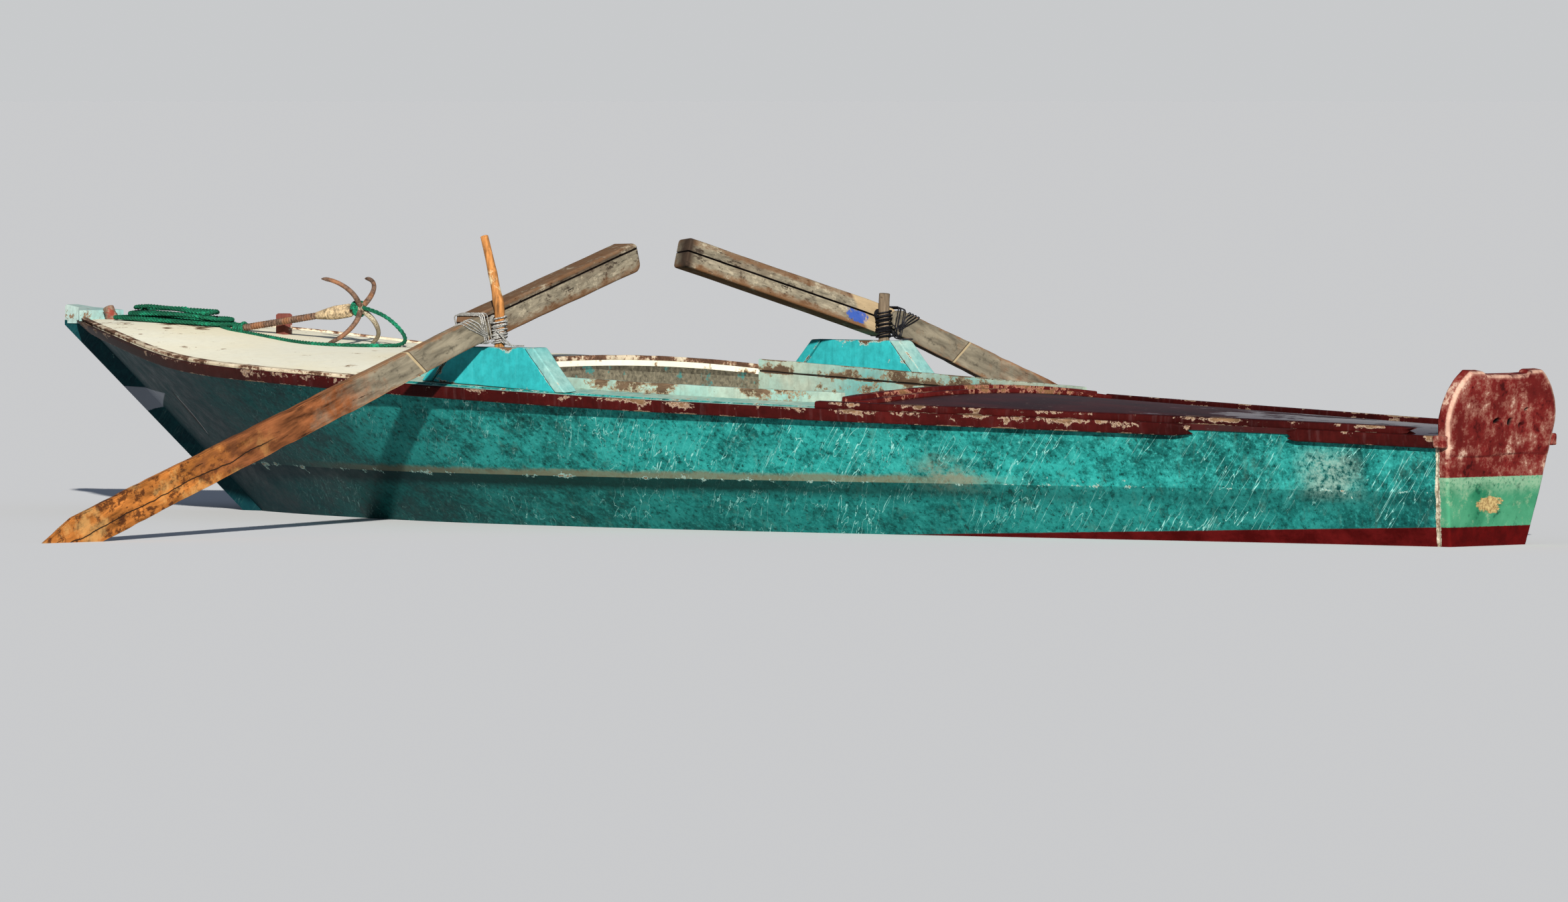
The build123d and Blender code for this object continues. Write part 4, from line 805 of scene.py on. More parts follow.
def material_set():
    """Every material of the boat, by name, made once."""
    if MATERIALS:
        return MATERIALS
    names = ("teal", "red", "pale", "cyan", "bare", "grey", "iron", "rope")
    teal, red, pale, cyan, bare, grey, iron, rope = (tuple(getattr(colours(), name)) for name in names)
    worn = {
        # name: the material's name, the paint's two tones, the wood, the undercoat, how it is worn
        "red": ("rub_strake_red", dim(red, 0.20), dim(red, 0.55), (0.13, 0.075, 0.04), (0.24, 0.17, 0.12),
                dict(chips=0.55, streaks=0.12, forward=(0.022, 0.011, 0.008))),
        "sill": ("sill_red", dim(red, 0.45), dim(red, 1.0), (0.17, 0.085, 0.04), (0.27, 0.12, 0.08),
                 dict(chips=0.8, rough=0.55, streaks=0.2)),
        "foredeck": ("foredeck_white", pale, (0.66, 0.61, 0.45), (0.10, 0.06, 0.035), (0.30, 0.21, 0.13),
                     dict(chips=1.0, rough=0.6, streaks=0.05, dirt=0.10, edge=0.10, grime=0.12)),
        "rail": ("rail_cream", (0.42, 0.35, 0.25), (0.52, 0.45, 0.33), (0.085, 0.045, 0.028),
                 (0.19, 0.10, 0.06), dict(chips=1.7, rough=0.65, edge=0.06)),
        "cyan": ("thole_block_cyan", cyan, dim(cyan, 1.35), (0.10, 0.055, 0.03), (0.26, 0.34, 0.30),
                 dict(streaks=0.10, edge=0.19)),
        "batten": ("batten_pale_cyan", (0.07, 0.29, 0.29), (0.25, 0.36, 0.32), (0.15, 0.11, 0.07),
                   (0.34, 0.33, 0.27), dict(chips=0.7, rough=0.55, streaks=0.12, dirt=0.25, edge=0.12)),
        "coaming": ("coaming_white", (0.30, 0.33, 0.26), (0.11, 0.29, 0.27), (0.10, 0.065, 0.04),
                    (0.20, 0.17, 0.11), dict(chips=1.1, rough=0.6, streaks=0.1, edge=0.10)),
        "side_deck": ("side_deck_blue", (0.13, 0.33, 0.30), (0.38, 0.42, 0.33), (0.12, 0.075, 0.04),
                      (0.34, 0.33, 0.25), dict(chips=1.1, rough=0.55, streaks=0.12)),
        "stem_head": ("stem_head_white", (0.36, 0.42, 0.38), (0.16, 0.34, 0.33), (0.10, 0.06, 0.035),
                      (0.20, 0.13, 0.08), dict(chips=1.2, rough=0.6, streaks=0.1, edge=0.12)),
        "post": ("post_red", (0.11, 0.020, 0.016), (0.15, 0.05, 0.038), (0.26, 0.22, 0.18),
                 (0.34, 0.28, 0.24), dict(chips=1.5, rough=0.6)),
    }
    MATERIALS.update({label: worn_paint(*row, **wear) for label, (*row, wear) in worn.items()})
    MATERIALS.update({
        "hull": hull_paint("hull_teal", teal, bare),
        "transom": transom_paint("transom_paint", red, bare),
        "deck_red": wet_deck("wet_deck_red", dim(red, 0.35)),
        "gap": bare_wood("gap_shade", (0.018, 0.013, 0.010)),
        "inside": bare_wood("inside_boards", (0.13, 0.115, 0.08), tint=(0.03, 0.15, 0.14)),
        "loom": loom_wood("loom_wood", grey, LOOM_SPLIT["port"]),
        "far_loom": loom_wood("far_loom_wood", grey, LOOM_SPLIT["starboard"], (0.36, 0.27, 0.16)),
        "blade": blade_wood("blade_wood", grey),
        "pin": bare_wood("pin_wood", (0.27, 0.115, 0.034), along=(9, 9, 1), light=1.8, dark=0.25, scale=9.0,
                         tint=(0.42, 0.34, 0.20)),
        "pin_grey": bare_wood("pin_grey_wood", (0.14, 0.105, 0.07), along=(12, 12, 1), scale=9.0),
        "peg": bare_wood("peg_wood", (0.17, 0.115, 0.08), along=(12, 12, 1), tint=(0.14, 0.02, 0.012)),
        "iron": iron_rust("grapnel_iron", iron, (0.24, 0.10, 0.04)),
        "bundle": iron_rust("bundle_cord", (0.25, 0.19, 0.115), (0.09, 0.05, 0.03)),
        "rope": rope_fibre("green_rope", rope, (0.012, 0.20, 0.105)),
        "string": rope_fibre("pale_string", (0.24, 0.235, 0.215), (0.42, 0.42, 0.40)),
        "cream_cord": rope_fibre("cream_cord", (0.24, 0.20, 0.135), (0.38, 0.34, 0.25)),
        "black_rope": rope_fibre("black_rope", (0.008, 0.008, 0.010), (0.025, 0.025, 0.030)),
    })
    return MATERIALS


MATERIALS = {}


# Hull

def inset(corners, share):
    """Two corner lines of a plank moved square to the line between them, inboard."""
    (ay, az), (by, bz) = corners
    dy, dz = by - ay, bz - az
    size = np.hypot(dy, dz)
    return (ay + dz / size * share, az - dy / size * share), (by + dz / size * share, bz - dy / size * share)


def plank_parts(side, upper, lower, rings, columns, seed):
    """A plank's closed shell: outer face from the upper to the lower corner line, with slight
    waves and a lean bevel at its edges, and an inner face one plank's thickness inboard."""
    t = np.linspace(0, len(FRAMES) - 1, rings)
    rows = hull_rows(t)
    a, b = upper(rows), lower(rows)
    c, d = inset((a, b), PLANK)
    v = np.linspace(0, 1, columns)[None, :]
    outer_y = a[0][:, None] * (1 - v) + b[0][:, None] * v
    outer_z = a[1][:, None] * (1 - v) + b[1][:, None] * v
    wave = ripple(t[:, None] * 1.0, v * 1.2, seed=seed, low=1, high=5) * 1.3
    fade = np.minimum(1, 4 * v) * np.minimum(1, 4 * (1 - v)) * np.minimum(1, t)[:, None]
    outer_y = outer_y + wave * fade
    inner_y = d[0][:, None] * (1 - v) + c[0][:, None] * v
    inner_z = d[1][:, None] * (1 - v) + c[1][:, None] * v
    y = side * np.concatenate([outer_y, inner_y], 1)
    z = np.concatenate([outer_z, inner_z], 1)
    rings_xyz = in_hull(rows[:, None], y, z)
    girth = np.hypot(b[0] - a[0], b[1] - a[1])[:, None] / 1000 * np.ones_like(v)
    down = girth * v
    return rings_xyz, down, girth - down


STRAKES = {
    # name: upper corner, lower corner
    "topside": (lambda r: (r[:, 2] - 4.0, r[:, 3] - 6.0), lambda r: (r[:, 4], np.full(len(r), CHINE_Z))),
    "lower_strake": (lambda r: (r[:, 4], np.full(len(r), CHINE_Z)),
                     lambda r: (r[:, 5], np.full(len(r), BILGE_Z))),
    "garboard": (lambda r: (r[:, 5], np.full(len(r), BILGE_Z)), lambda r: (np.full(len(r), 30.0), r[:, 6])),
}


class BOAT_OT_planks(bpy.types.Operator):
    """Makes the hull's planks: a topside, a lower strake and a garboard on each side"""
    bl_idname = "boat.planks"
    bl_label = "Hull planks"

    def execute(self, context):
        mats = material_set()
        for side_name, side in SIDES.items():
            for number, (strake, (upper, lower)) in enumerate(STRAKES.items()):
                rings, down, up = plank_parts(side, upper, lower, sizes().rings, 26, 7 * number + 3)
                edge = np.exp(-np.minimum(down, up) / 0.012)
                over = np.exp(-(up / 0.040) ** 2) if strake == "topside" else 0 * up
                under = np.exp(-((down / 0.075) ** 2)) if strake == "lower_strake" else 0 * down
                layers = {"wear": np.concatenate([edge, edge[:, ::-1]], 1),
                          "over_chine": np.concatenate([over, 0 * over], 1),
                          "under_chine": np.concatenate([under, 0 * under], 1)}
                label = f"{side_name}_{strake}"
                lengths = ("", "_fore", "_aft") if strake == "lower_strake" else ("",)
                made(f"{label}_skin", [carried(rings, **layers)], mats["hull"], "boat",
                     [label + length for length in lengths], sharp=30)
        return {"FINISHED"}


# Stations along a strip of trim, and points of its profile at each corner.
STRIP_STATIONS, CORNER_POINTS = 160, 4


def strip(side, corners, x_from, x_to, radius, seed):
    """A strip that follows the sheer: its corner lines, given by each frame's row, are rounded and
    dented a little, and it runs between two distances along the boat."""
    t = np.linspace(t_at(x_from), t_at(x_to), STRIP_STATIONS)
    rows = hull_rows(t)
    noise = ripple(t * 9, seed=seed, low=1, high=9)
    depth = sizes().dents * 1000
    drawn = rounded(profile(*corners(rows)), radius + depth * (1 + noise)[:, None, None], CORNER_POINTS)
    points = in_hull(rows[:, None], side * drawn[..., 0], drawn[..., 1])
    return points, np.tile((np.arange(drawn.shape[1]) % CORNER_POINTS > 0) * 0.9, (STRIP_STATIONS, 1))


SPLINTER = 0.05  # metres that a torn strip's splinters reach past its end


def ragged(points, at_start, at_end, seed):
    """Splinters a strip's ends: each point of the end rings moves along the strip by its own share."""
    rng = np.random.default_rng(seed)
    points = points.copy()
    for end, wanted in ((0, at_start), (-1, at_end)):
        if not wanted:
            continue
        push = points[end] - points[end + (1 if end == 0 else -1)]
        push /= np.linalg.norm(push, axis=1, keepdims=True)
        points[end] = points[end] + push * rng.uniform(-SPLINTER * 0.2, SPLINTER, len(push))[:, None]
        points[end] = points[end] * 0.7 + points[end].mean(0) * 0.3
    return points


def rub_corners(rows):
    """The corners of a rub strake, outside the sheer."""
    y, z = rows[:, 2], rows[:, 3]
    return [(y + 26, z + 0.5), (y + 21, z - 42), (y - 9, z - 42), (y - 3, z + 0.5)]


def edge_corners(width, rise):
    """A rule for the corners of a low rail on the deck's edge, from the rail's width and rise."""
    def corners(rows):
        y = rows[:, 2] - 3
        inner = np.maximum(y - width, y / 2)
        z = rows[:, 3]
        return [(y, z + rise), (y, z - 2), (inner, z - 2), (inner, z + rise + 3)]
    return corners


EDGE_RADIUS = 5  # millimetres, of the strakes' and rails' edges


class BOAT_OT_edges(bpy.types.Operator):
    """Makes the rub strakes, the foredeck's rails and the aft deck's toe rails"""
    bl_idname = "boat.edges"
    bl_label = "Rub strakes and rails"

    def execute(self, context):
        mats = material_set()
        fore_rail, toe_rail = edge_corners(36, 12), edge_corners(34, 24)
        red, cream = ("red", "trim_paint"), ("rail", "deck_paint")
        pieces = [
            # name, side, corners, from, to, material and slot, torn at the start, torn at the end
            ("port_rub_strake", -1, rub_corners, -3389, 2440, red, False, True),
            ("port_rub_strake_stub", -1, rub_corners, 2885, 3436, red, True, False),
            ("starboard_rub_strake", 1, rub_corners, -3389, 3436, red, False, False),
            ("port_fore_rail", -1, fore_rail, -3310, -775, cream, False, False),
            ("starboard_fore_rail", 1, fore_rail, -3310, -775, cream, False, False),
            ("port_toe_rail", -1, toe_rail, 1030, 3290, red, False, True),
            ("starboard_toe_rail", 1, toe_rail, 1030, 3430, red, False, False),
        ]
        for number, (label, side, corners, low, high, (mat, slot), start, end) in enumerate(pieces):
            points, wear = strip(side, corners, low, high, EDGE_RADIUS, 20 + number)
            points = ragged(points, start, end, number)
            made(f"{label}_trim", [carried(points, wear=wear)], mats[mat], "boat", [label], sharp=50)
        return {"FINISHED"}


# Stations along a deck, and points across it.
DECK_STATIONS, DECK_COLUMNS = 90, 41


def deck_sheet(x_from, x_to, seed):
    """A deck between two lines across the boat. For each share of the half breadth, the surface
    runs along the frames from one line to the other; its underside is a board's thickness lower."""
    share = np.linspace(-1, 1, DECK_COLUMNS)
    top = np.empty((DECK_STATIONS, DECK_COLUMNS, 3))
    for k, s in enumerate(share):
        z = deck_height(FINE_ROWS, s)
        x = along_frames(FINE_ROWS, z)
        start = FINE[0] if x_from is None else np.interp(x_from, x, FINE)
        end = FINE[-1] if x_to is None else np.interp(x_to, x, FINE)
        rows = hull_rows(np.linspace(start, end, DECK_STATIONS))
        top[:, k] = in_hull(rows, s * (rows[:, 2] - 0.5), deck_height(rows, s))
    top[..., 2] += ripple(top[..., 0] * 2, top[..., 1] * 3, seed=seed, low=1, high=4) * 0.0008
    under = top[:, ::-1] - np.array((0, 0, DECK / 1000))
    return np.concatenate([top, under], 1)


class BOAT_OT_decks(bpy.types.Operator):
    """Makes the crowned foredeck and aft deck"""
    bl_idname = "boat.decks"
    bl_label = "Decks"

    def execute(self, context):
        mats = material_set()
        for label, low, high, mat, slot in (("foredeck", None, COCKPIT_FORE, "foredeck", "deck_paint"),
                                            ("aft_deck", COCKPIT_AFT, None, "deck_red", "trim_paint")):
            rings = deck_sheet(low, high, 5)
            column = np.arange(2 * DECK_COLUMNS) % DECK_COLUMNS
            edge = np.exp(-np.minimum(column, DECK_COLUMNS - 1 - column) / 1.5)
            boards = carried(rings, wear=np.tile(edge, (DECK_STATIONS, 1)))
            made(f"{label}_boards", [boards], mats[mat], "boat", [label])
        return {"FINISHED"}


# Stage

# The pale floor, and the sky's colours at the horizon and higher up.
FLOOR_COLOUR = (0.545, 0.552, 0.558)
FLOOR_RINGS, FLOOR_POINTS = (8, 60, 1500), 96  # metres from the middle, and points round each ring
SKY_LOW, SKY_HIGH = (0.58, 0.59, 0.60, 1), (0.13, 0.16, 0.22, 1)
SUN_PLACE, SUN_ENERGY, SUN_COLOUR, SUN_WIDTH = (66.9, -66.9, 32.6), 9.0, (1.0, 0.965, 0.91), radians(1.2)
# The camera, found from the photograph: its place and turn, and its focal length counted in the
# picture's pixels.
CAMERA_PLACE, CAMERA_TURN = (34.44, -36.76, 1.557), (radians(88.527), 0, radians(43))
SENSOR, FOCAL_PIXELS, PICTURE_WIDTH = 36.0, 21120, 2340


class BOAT_OT_stage(bpy.types.Operator):
    """Makes the pale floor at the waterline, the sky, the sun and the camera"""
    bl_idname = "boat.stage"
    bl_label = "Stage"

    def execute(self, context):
        scene = bpy.context.scene
        angle = np.linspace(0, 2 * pi, FLOOR_POINTS, endpoint=False)
        ring = points_of(np.cos(angle), np.sin(angle), 0)
        verts = np.concatenate([ring * reach for reach in FLOOR_RINGS] + [[[0, 0, 0]]])
        index = np.arange(FLOOR_POINTS)
        after = np.roll(index, -1)
        faces = points_of(3 * FLOOR_POINTS, index, after).tolist()
        for low in (0, FLOOR_POINTS):
            high = low + FLOOR_POINTS
            faces += points_of(index + low, index + high, after + high, after + low).tolist()
        mesh = bpy.data.meshes.new("floor")
        mesh.from_pydata(verts.tolist(), [], faces)
        mesh.materials.append(Graph("floor_pale").done(FLOOR_COLOUR, 0.9, specular=0.0))
        placed("floor", mesh)
        world = bpy.data.worlds.new("studio")
        world.use_nodes = True
        nodes, links = world.node_tree.nodes, world.node_tree.links
        place = nodes.new("ShaderNodeTexCoord")
        height = nodes.new("ShaderNodeSeparateXYZ")
        rise = nodes.new("ShaderNodeMapRange")
        rise.inputs["From Min"].default_value, rise.inputs["From Max"].default_value = 0.04, 0.30
        sky = nodes.new("ShaderNodeMix")
        sky.data_type = "RGBA"
        sky.inputs[6].default_value, sky.inputs[7].default_value = SKY_LOW, SKY_HIGH
        links.new(place.outputs["Generated"], height.inputs[0])
        links.new(height.outputs["Z"], rise.inputs["Value"])
        links.new(rise.outputs["Result"], sky.inputs[0])
        links.new(sky.outputs[2], nodes["Background"].inputs["Color"])
        scene.world = world
        sun = bpy.data.lights.new("key", "SUN")
        sun.energy, sun.color, sun.angle = SUN_ENERGY, SUN_COLOUR, SUN_WIDTH
        light = placed("key", sun)
        light.location = SUN_PLACE
        light.rotation_euler = (-Vector(SUN_PLACE)).to_track_quat("-Z", "Y").to_euler()
        data = bpy.data.cameras.new("camera")
        data.sensor_width, data.lens = SENSOR, FOCAL_PIXELS * SENSOR / PICTURE_WIDTH
        data.clip_start, data.clip_end = 1.0, 4000.0
        camera = placed("camera", data)
        camera.location, camera.rotation_euler = CAMERA_PLACE, CAMERA_TURN
        scene.camera = camera
        scene.view_settings.view_transform = "Standard"
        return {"FINISHED"}


# Transom

def transom_outline(count):
    """The board's edge, (y, z) in metres: bilge and chine corners, round shoulders, a low notch."""
    side = [(0.030, -0.185), (0.030, -0.125), (0.175, -0.100), (0.243, 0.185), (0.277, 0.378)]
    shoulder = arc((0.286, 0.430), (0.258, 0.528), (0.190, 0.602), 14)
    top = [(0.122, 0.601), (0.115, 0.590), (0.060, 0.588)]
    half = np.concatenate([side, shoulder, top])
    whole = np.concatenate([half, (half * (-1, 1))[::-1]])
    closed = np.concatenate([whole, whole[:1]])
    at = np.concatenate([[0], np.cumsum(np.linalg.norm(np.diff(closed, axis=0), axis=1))])
    want = np.linspace(0, at[-1], count, endpoint=False)
    return np.stack([np.interp(want, at, closed[:, k]) for k in range(2)], -1)


# The holes worn through the transom's face: place, half widths and turn, in metres and radians.
HOLES = ((-0.030, 0.433, 0.020, 0.0075, 0.25), (0.038, 0.427, 0.014, 0.013, -0.3),
         (0.093, 0.415, 0.0085, 0.010, 0.5), (0.120, 0.470, 0.012, 0.006, 0.0))
HOLE_DEPTH, RIM_RADIUS = 0.016, 0.012


def transom_relief(y, z):
    """How far the aft face stands out: a seam under the upper board's swell, four ragged holes and a
    crack, each a smooth step or a bell of the distance to it, over slow waves."""
    wave = 0.004 * np.sin(14 * y)
    swell = 0.5 + 0.5 * np.tanh((z - 0.316 - wave) / 0.004)
    relief = 0.0035 * swell - 0.0030 * np.exp(-((z - 0.3125 - wave) / 0.0032) ** 2)
    holes = np.zeros_like(y)
    for hole_y, hole_z, wide, high, turn in HOLES:
        u = (y - hole_y) * cos(turn) + (z - hole_z) * sin(turn)
        v = (z - hole_z) * cos(turn) - (y - hole_y) * sin(turn)
        ragged_edge = 1 + 0.32 * ripple(y * 90, z * 90, seed=9, low=1, high=3)
        holes = np.maximum(holes, np.exp(-((u / wide) ** 2 + (v / high) ** 2) ** 2 / ragged_edge ** 4 * 1.2))
    crack = np.exp(-((z - 0.139 - 0.058 * (y - 0.046)) / 0.0022) ** 2) * (y > 0.02) * (y < 0.25)
    relief = relief - 0.0022 * crack + 0.0011 * ripple(y * 16, z * 16, seed=4, low=1, high=4)
    return relief - HOLE_DEPTH * holes, holes


class BOAT_OT_transom(bpy.types.Operator):
    """Makes the transom: a thick board with rounded edges, a seam, ragged holes and a crack"""
    bl_idname = "boat.transom"
    bl_label = "Transom"

    def execute(self, context):
        edge = transom_outline(420)
        centre = np.array((0.02, 0.42))
        reach = np.linalg.norm(edge - centre, axis=1)
        # rings from the fore face's middle round the edge to the aft face's middle, each with its
        # distance from the fore face, its share of the way from the middle to the edge, and its wear
        rings = [(0.0, 0.5, 0.0), (0.0, 0.97, 0.0), (0.002, 1 - 0.0035 / reach, 0.0), (0.006, 1.0, 0.0)]
        rings += [(depth, 1.0, 0.0) for depth in np.linspace(0.012, TRANSOM - 0.013, 6)]
        edge_rings = len(rings)
        for angle in np.linspace(0, pi / 2, 6)[1:]:
            rings.append((TRANSOM - RIM_RADIUS * (1 - sin(angle)), 1 - RIM_RADIUS * (1 - cos(angle)) / reach,
                          sin(2 * angle) + 0.3))
        for share in np.linspace(0, 1, 110)[1:-1]:
            rings.append((TRANSOM, (1 - RIM_RADIUS / reach) * (1 - share), max(0.0, 1 - share / 0.03) * 0.3))
        depth, share, rims = (np.array([np.broadcast_to(ring[k], len(edge)) for ring in rings])
                              for k in range(3))
        plan = centre + share[..., None] * (edge - centre)
        y, z = plan[..., 0], plan[..., 1]
        dents = ripple(np.linspace(0, 60, len(edge))[None, :], seed=6, low=1, high=6) * 0.0012
        relief, holes = transom_relief(y, z)
        face = (np.arange(len(rings)) >= edge_rings)[:, None] & (share < 1)
        depth = depth + np.where(face, relief * np.clip((1 - share) * 12, 0, 1), 0)
        y = y + np.where(share > 0.93, dents * (edge - centre)[None, :, 0] / reach, 0)
        x = TRANSOM_FOOT - z * tan(TRANSOM_LEAN) + depth * cos(TRANSOM_LEAN)
        z = z + depth * sin(TRANSOM_LEAN)
        wear = np.clip(rims, 0, 1)
        mats = material_set()
        # the rim layer marks the aft face's rounded rim above 0.30 m, where the paint is lightened: wear and
        # painted highlight
        board = carried(points_of(x, y, z), rim=wear * (z > 0.30), wear=wear,
                        hole=np.where(face, np.clip(holes * 1.6 - 0.3, 0, 1), 0))
        made("transom_board", [board], mats["transom"], "boat", ["transom"], sharp=60)
        # the rub strakes' ends, at the board's edges
        ends = []
        for side in SIDES.values():
            low, high = sorted((side * 0.272, side * 0.303))
            block = box_corners((3.436, low, 0.337), (3.484, high, 0.379))
            ends.append(hewn(block, 0.014, (6, 5, 5), 0.0016, 3, (40, 60, 60)))
        made("rub_strake_ends", ends, mats["transom"], "boat", sharp=60)
        return {"FINISHED"}


# Cockpit

def well_half(x):
    """Half breadth of the cockpit's opening: the circle through its ends and its middle."""
    fore, middle, aft = FRAMES[3], FRAMES[4], FRAMES[5]

    def half(at):
        a, b = (fore, middle) if at < middle[0] else (middle, aft)
        return a[2] + (b[2] - a[2]) * (at - a[0]) / (b[0] - a[0]) - SIDE_DECK

    places = np.array([COCKPIT_FORE, (COCKPIT_FORE + COCKPIT_AFT) / 2, COCKPIT_AFT])
    curve = arc(*[(at, half(at)) for at in places], 200) / 1000
    return np.interp(x, curve[:, 0], curve[:, 1])


def deck_at(x, y):
    """Height in metres of the deck where the frames stand upright."""
    rows = hull_rows(t_at(np.asarray(x) * 1000))
    return deck_height(rows, np.abs(y) * 1000 / rows[..., 2]) / 1000


class BOAT_OT_cockpit(bpy.types.Operator):
    """Makes the coamings, two boards each with a dark board of painted shade in the gap between them, and the
    sills across the cockpit's ends
    """
    bl_idname = "boat.cockpit"
    bl_label = "Coamings and sills"

    def execute(self, context):
        mats = material_set()
        fore, aft = COCKPIT_FORE / 1000 + 0.001, COCKPIT_AFT / 1000 - 0.001
        x = np.linspace(fore, aft, 130)
        boards = [
            # low and high above the deck, how far in from the coaming's faces, depth of its dents
            # the third row is a dark board in the gap: painted shade
            (-0.0735, -0.0085, 0.0, 0.0009), (-0.003, 0.0375, 0.0, 0.0012), (-0.020, 0.012, 0.006, 0.0),
        ]
        for side_name, side in SIDES.items():
            parts = []
            for number, (low, high, inset_by, dent) in enumerate(boards):
                outer = well_half(x) - 0.0005 - inset_by
                inner = well_half(x) - 0.0235 + inset_by
                z = deck_at(x, outer)
                wave = ripple(x * 8, seed=30 + number, low=1, high=5) * dent
                top, foot = z + high + wave, z + low - wave
                shape = profile((outer, top), (outer, foot), (inner, foot), (inner, top))
                drawn = rounded(shape, 0.004, 5)
                wear = np.tile((np.arange(drawn.shape[1]) % 5 > 0) * 0.9, (len(x), 1))
                parts.append(carried(points_of(x[:, None], side * drawn[..., 0], drawn[..., 1]), wear=wear))
            made(f"{side_name}_coaming_boards", parts[:2], mats["coaming"], "boat",
                 [f"{side_name}_coaming"], sharp=50)
            # a dark board between the two: painted shade in the gap
            made(f"{side_name}_coaming_gap", parts[2:], mats["gap"], "boat", sharp=50)
        sills = [
            # name, from, to, rise over the deck, material, slot
            ("aft_sill", 1.032, 1.082, 0.024, "sill", "trim_paint"),
            ("aft_sill_plank", 1.086, 1.150, 0.014, "sill", "trim_paint"),
            ("fore_sill", -0.822, -0.777, 0.016, "rail", "deck_paint"),
        ]
        for label, low, high, rise, mat, slot in sills:
            middle = (low + high) / 2
            half = float(well_half(np.clip(middle, fore, aft))) - 0.004
            y = np.linspace(-half, half, 90)
            z = deck_at(np.full_like(y, middle), y)
            wave = ripple(y * 9, seed=int(abs(low) * 100), low=1, high=5) * 0.0015
            drawn = rounded(profile((low + wave, z + rise + wave), (high + wave, z + rise - wave),
                                    (high, z - 0.002), (low, z - 0.002)), 0.006, 5)
            board = carried(points_of(drawn[..., 0], y[:, None], drawn[..., 1]), wear=0.7)
            made(label, [board], mats[mat], "boat", sharp=50)
        return {"FINISHED"}


# Thole blocks and pins

# The pins' breadth, the blocks' middle along the boat, their crest and their lowest foot, in metres.
PIN_Y, BLOCK_X, BLOCK_TOP, BLOCK_FOOT = 0.950, -0.342, 0.641, 0.484
BLOCK_SLOPE = 0.1575, 0.162  # how far the block's ends slope out, over what height
# side: x, radius low down, radius at the top, top's height, bend's height, lean toward the bow.
PINS = {"port": (-0.325, 0.0178, 0.0140, 1.032, 0.777, radians(16.0)),
        "starboard": (-0.230, 0.0198, 0.0195, 0.811, 0.779, radians(-5.0))}


def sloped(from_x, to_x, y_pair):
    """Eight corners of a part of a thole block between two places along its crest; the ends slope
    out to the deck."""
    run, rise = BLOCK_SLOPE
    corners = np.empty((2, 2, 2, 3))
    for i, at in enumerate((from_x, to_x)):
        out = np.sign(at) * run
        for j, y in enumerate(y_pair):
            foot_x = BLOCK_X + at + out * ((BLOCK_TOP - BLOCK_FOOT) / rise)
            low = max(BLOCK_FOOT, deck_z(foot_x, y) + 0.001)
            foot_x = BLOCK_X + at + out * (BLOCK_TOP - low) / rise
            corners[i, j] = (foot_x, y, low), (BLOCK_X + at, y, BLOCK_TOP)
    return corners


class BOAT_OT_tholes(bpy.types.Operator):
    """Makes the thole blocks, each a board with a batten on both sloping ends, and their pins"""
    bl_idname = "boat.tholes"
    bl_label = "Thole blocks and pins"

    def execute(self, context):
        mats = material_set()
        for number, (side_name, side) in enumerate(SIDES.items()):
            faces = sorted((side * (PIN_Y - 0.030), side * (PIN_Y + 0.030)))
            proud = (faces[0] - 0.005, faces[1] + 0.005)
            board = hewn(sloped(-0.164, 0.164, faces), 0.005, (34, 8, 16), 0.0011, 40 + number)
            made(f"{side_name}_thole_board", [board], mats["cyan"], "boat",
                 [f"{side_name}_thole_block"], sharp=50)
            for label, end, mat in (("aft", 1, "batten"), ("fore", -1, "cyan")):
                corners = sloped(end * 0.168, end * 0.215, proud)[::end]
                batten = hewn(corners, 0.006, (6, 8, 16), 0.0011, 44 + number + end)
                made(f"{side_name}_{label}_batten", [batten], mats[mat], "boat", sharp=50)
            x, foot, head, top, bend, lean = PINS[side_name]
            z = np.concatenate([np.linspace(0.575, top - 0.004, 70), [top - 0.0015, top]])
            past = np.clip(z - (bend - 0.014), 0, None)
            shift = np.where(past < 0.028, past ** 2 / 0.056, past - 0.014) * tan(lean)
            above = np.clip((z - 0.765) / (top - 0.765), 0, 1)
            radius = np.where(z < 0.765, foot, foot + (head - foot) * above ** 0.8)
            if side_name == "port":
                radius = radius + 0.0030 * np.exp(-((z - 0.80) / 0.025) ** 2)
                radius = radius + 0.0012 * np.exp(-((z - 0.90) / 0.02) ** 2)
            radius = radius * np.where(np.arange(len(z)) == len(z) - 1, 0.80, 1)
            bow = 0.003 * np.sin((z - 0.76) * 14) * above * (side_name == "port")
            line = points_of(x - shift + bow, side * PIN_Y, z)

            def bark(i, a, number=number):
                """Bumps of peeled wood, stronger above the block."""
                noise = ripple(z[i] * 22, np.cos(a) * 1.2, np.sin(a) * 1.2, seed=50 + number, low=1, high=4)
                return above[i] ** 0.3 * (0.055 * noise)

            made(f"{side_name}_thole_stick", [carried(tube(line, radius, 24, bark))],
                 mats["pin" if side_name == "port" else "pin_grey"], "boat",
                 [f"{side_name}_thole_pin"], sharp=50)
        return {"FINISHED"}


# Oars

# The oars: height at the pins, how they slope outboard and inboard, and how the looms splay forward.
OAR_Z, BLADE_SLOPE, LOOM_SLOPE, SPLAY = 0.735, radians(19.0), radians(15.3), radians(6.0)
# A loom: its aft face, the place of its bend, its lower and upper edges, its outboard end and its
# width, in metres from the pin's place; and how far inboard each one is drawn.
LOOM_AFT, BEND = -0.036, -0.060
LOOM_LOW, LOOM_HIGH, LOOM_ROOT, LOOM_WIDE = -0.064, 0.042, 0.105, 0.0905
LOOM_END = {"port": -0.868, "starboard": -0.925}


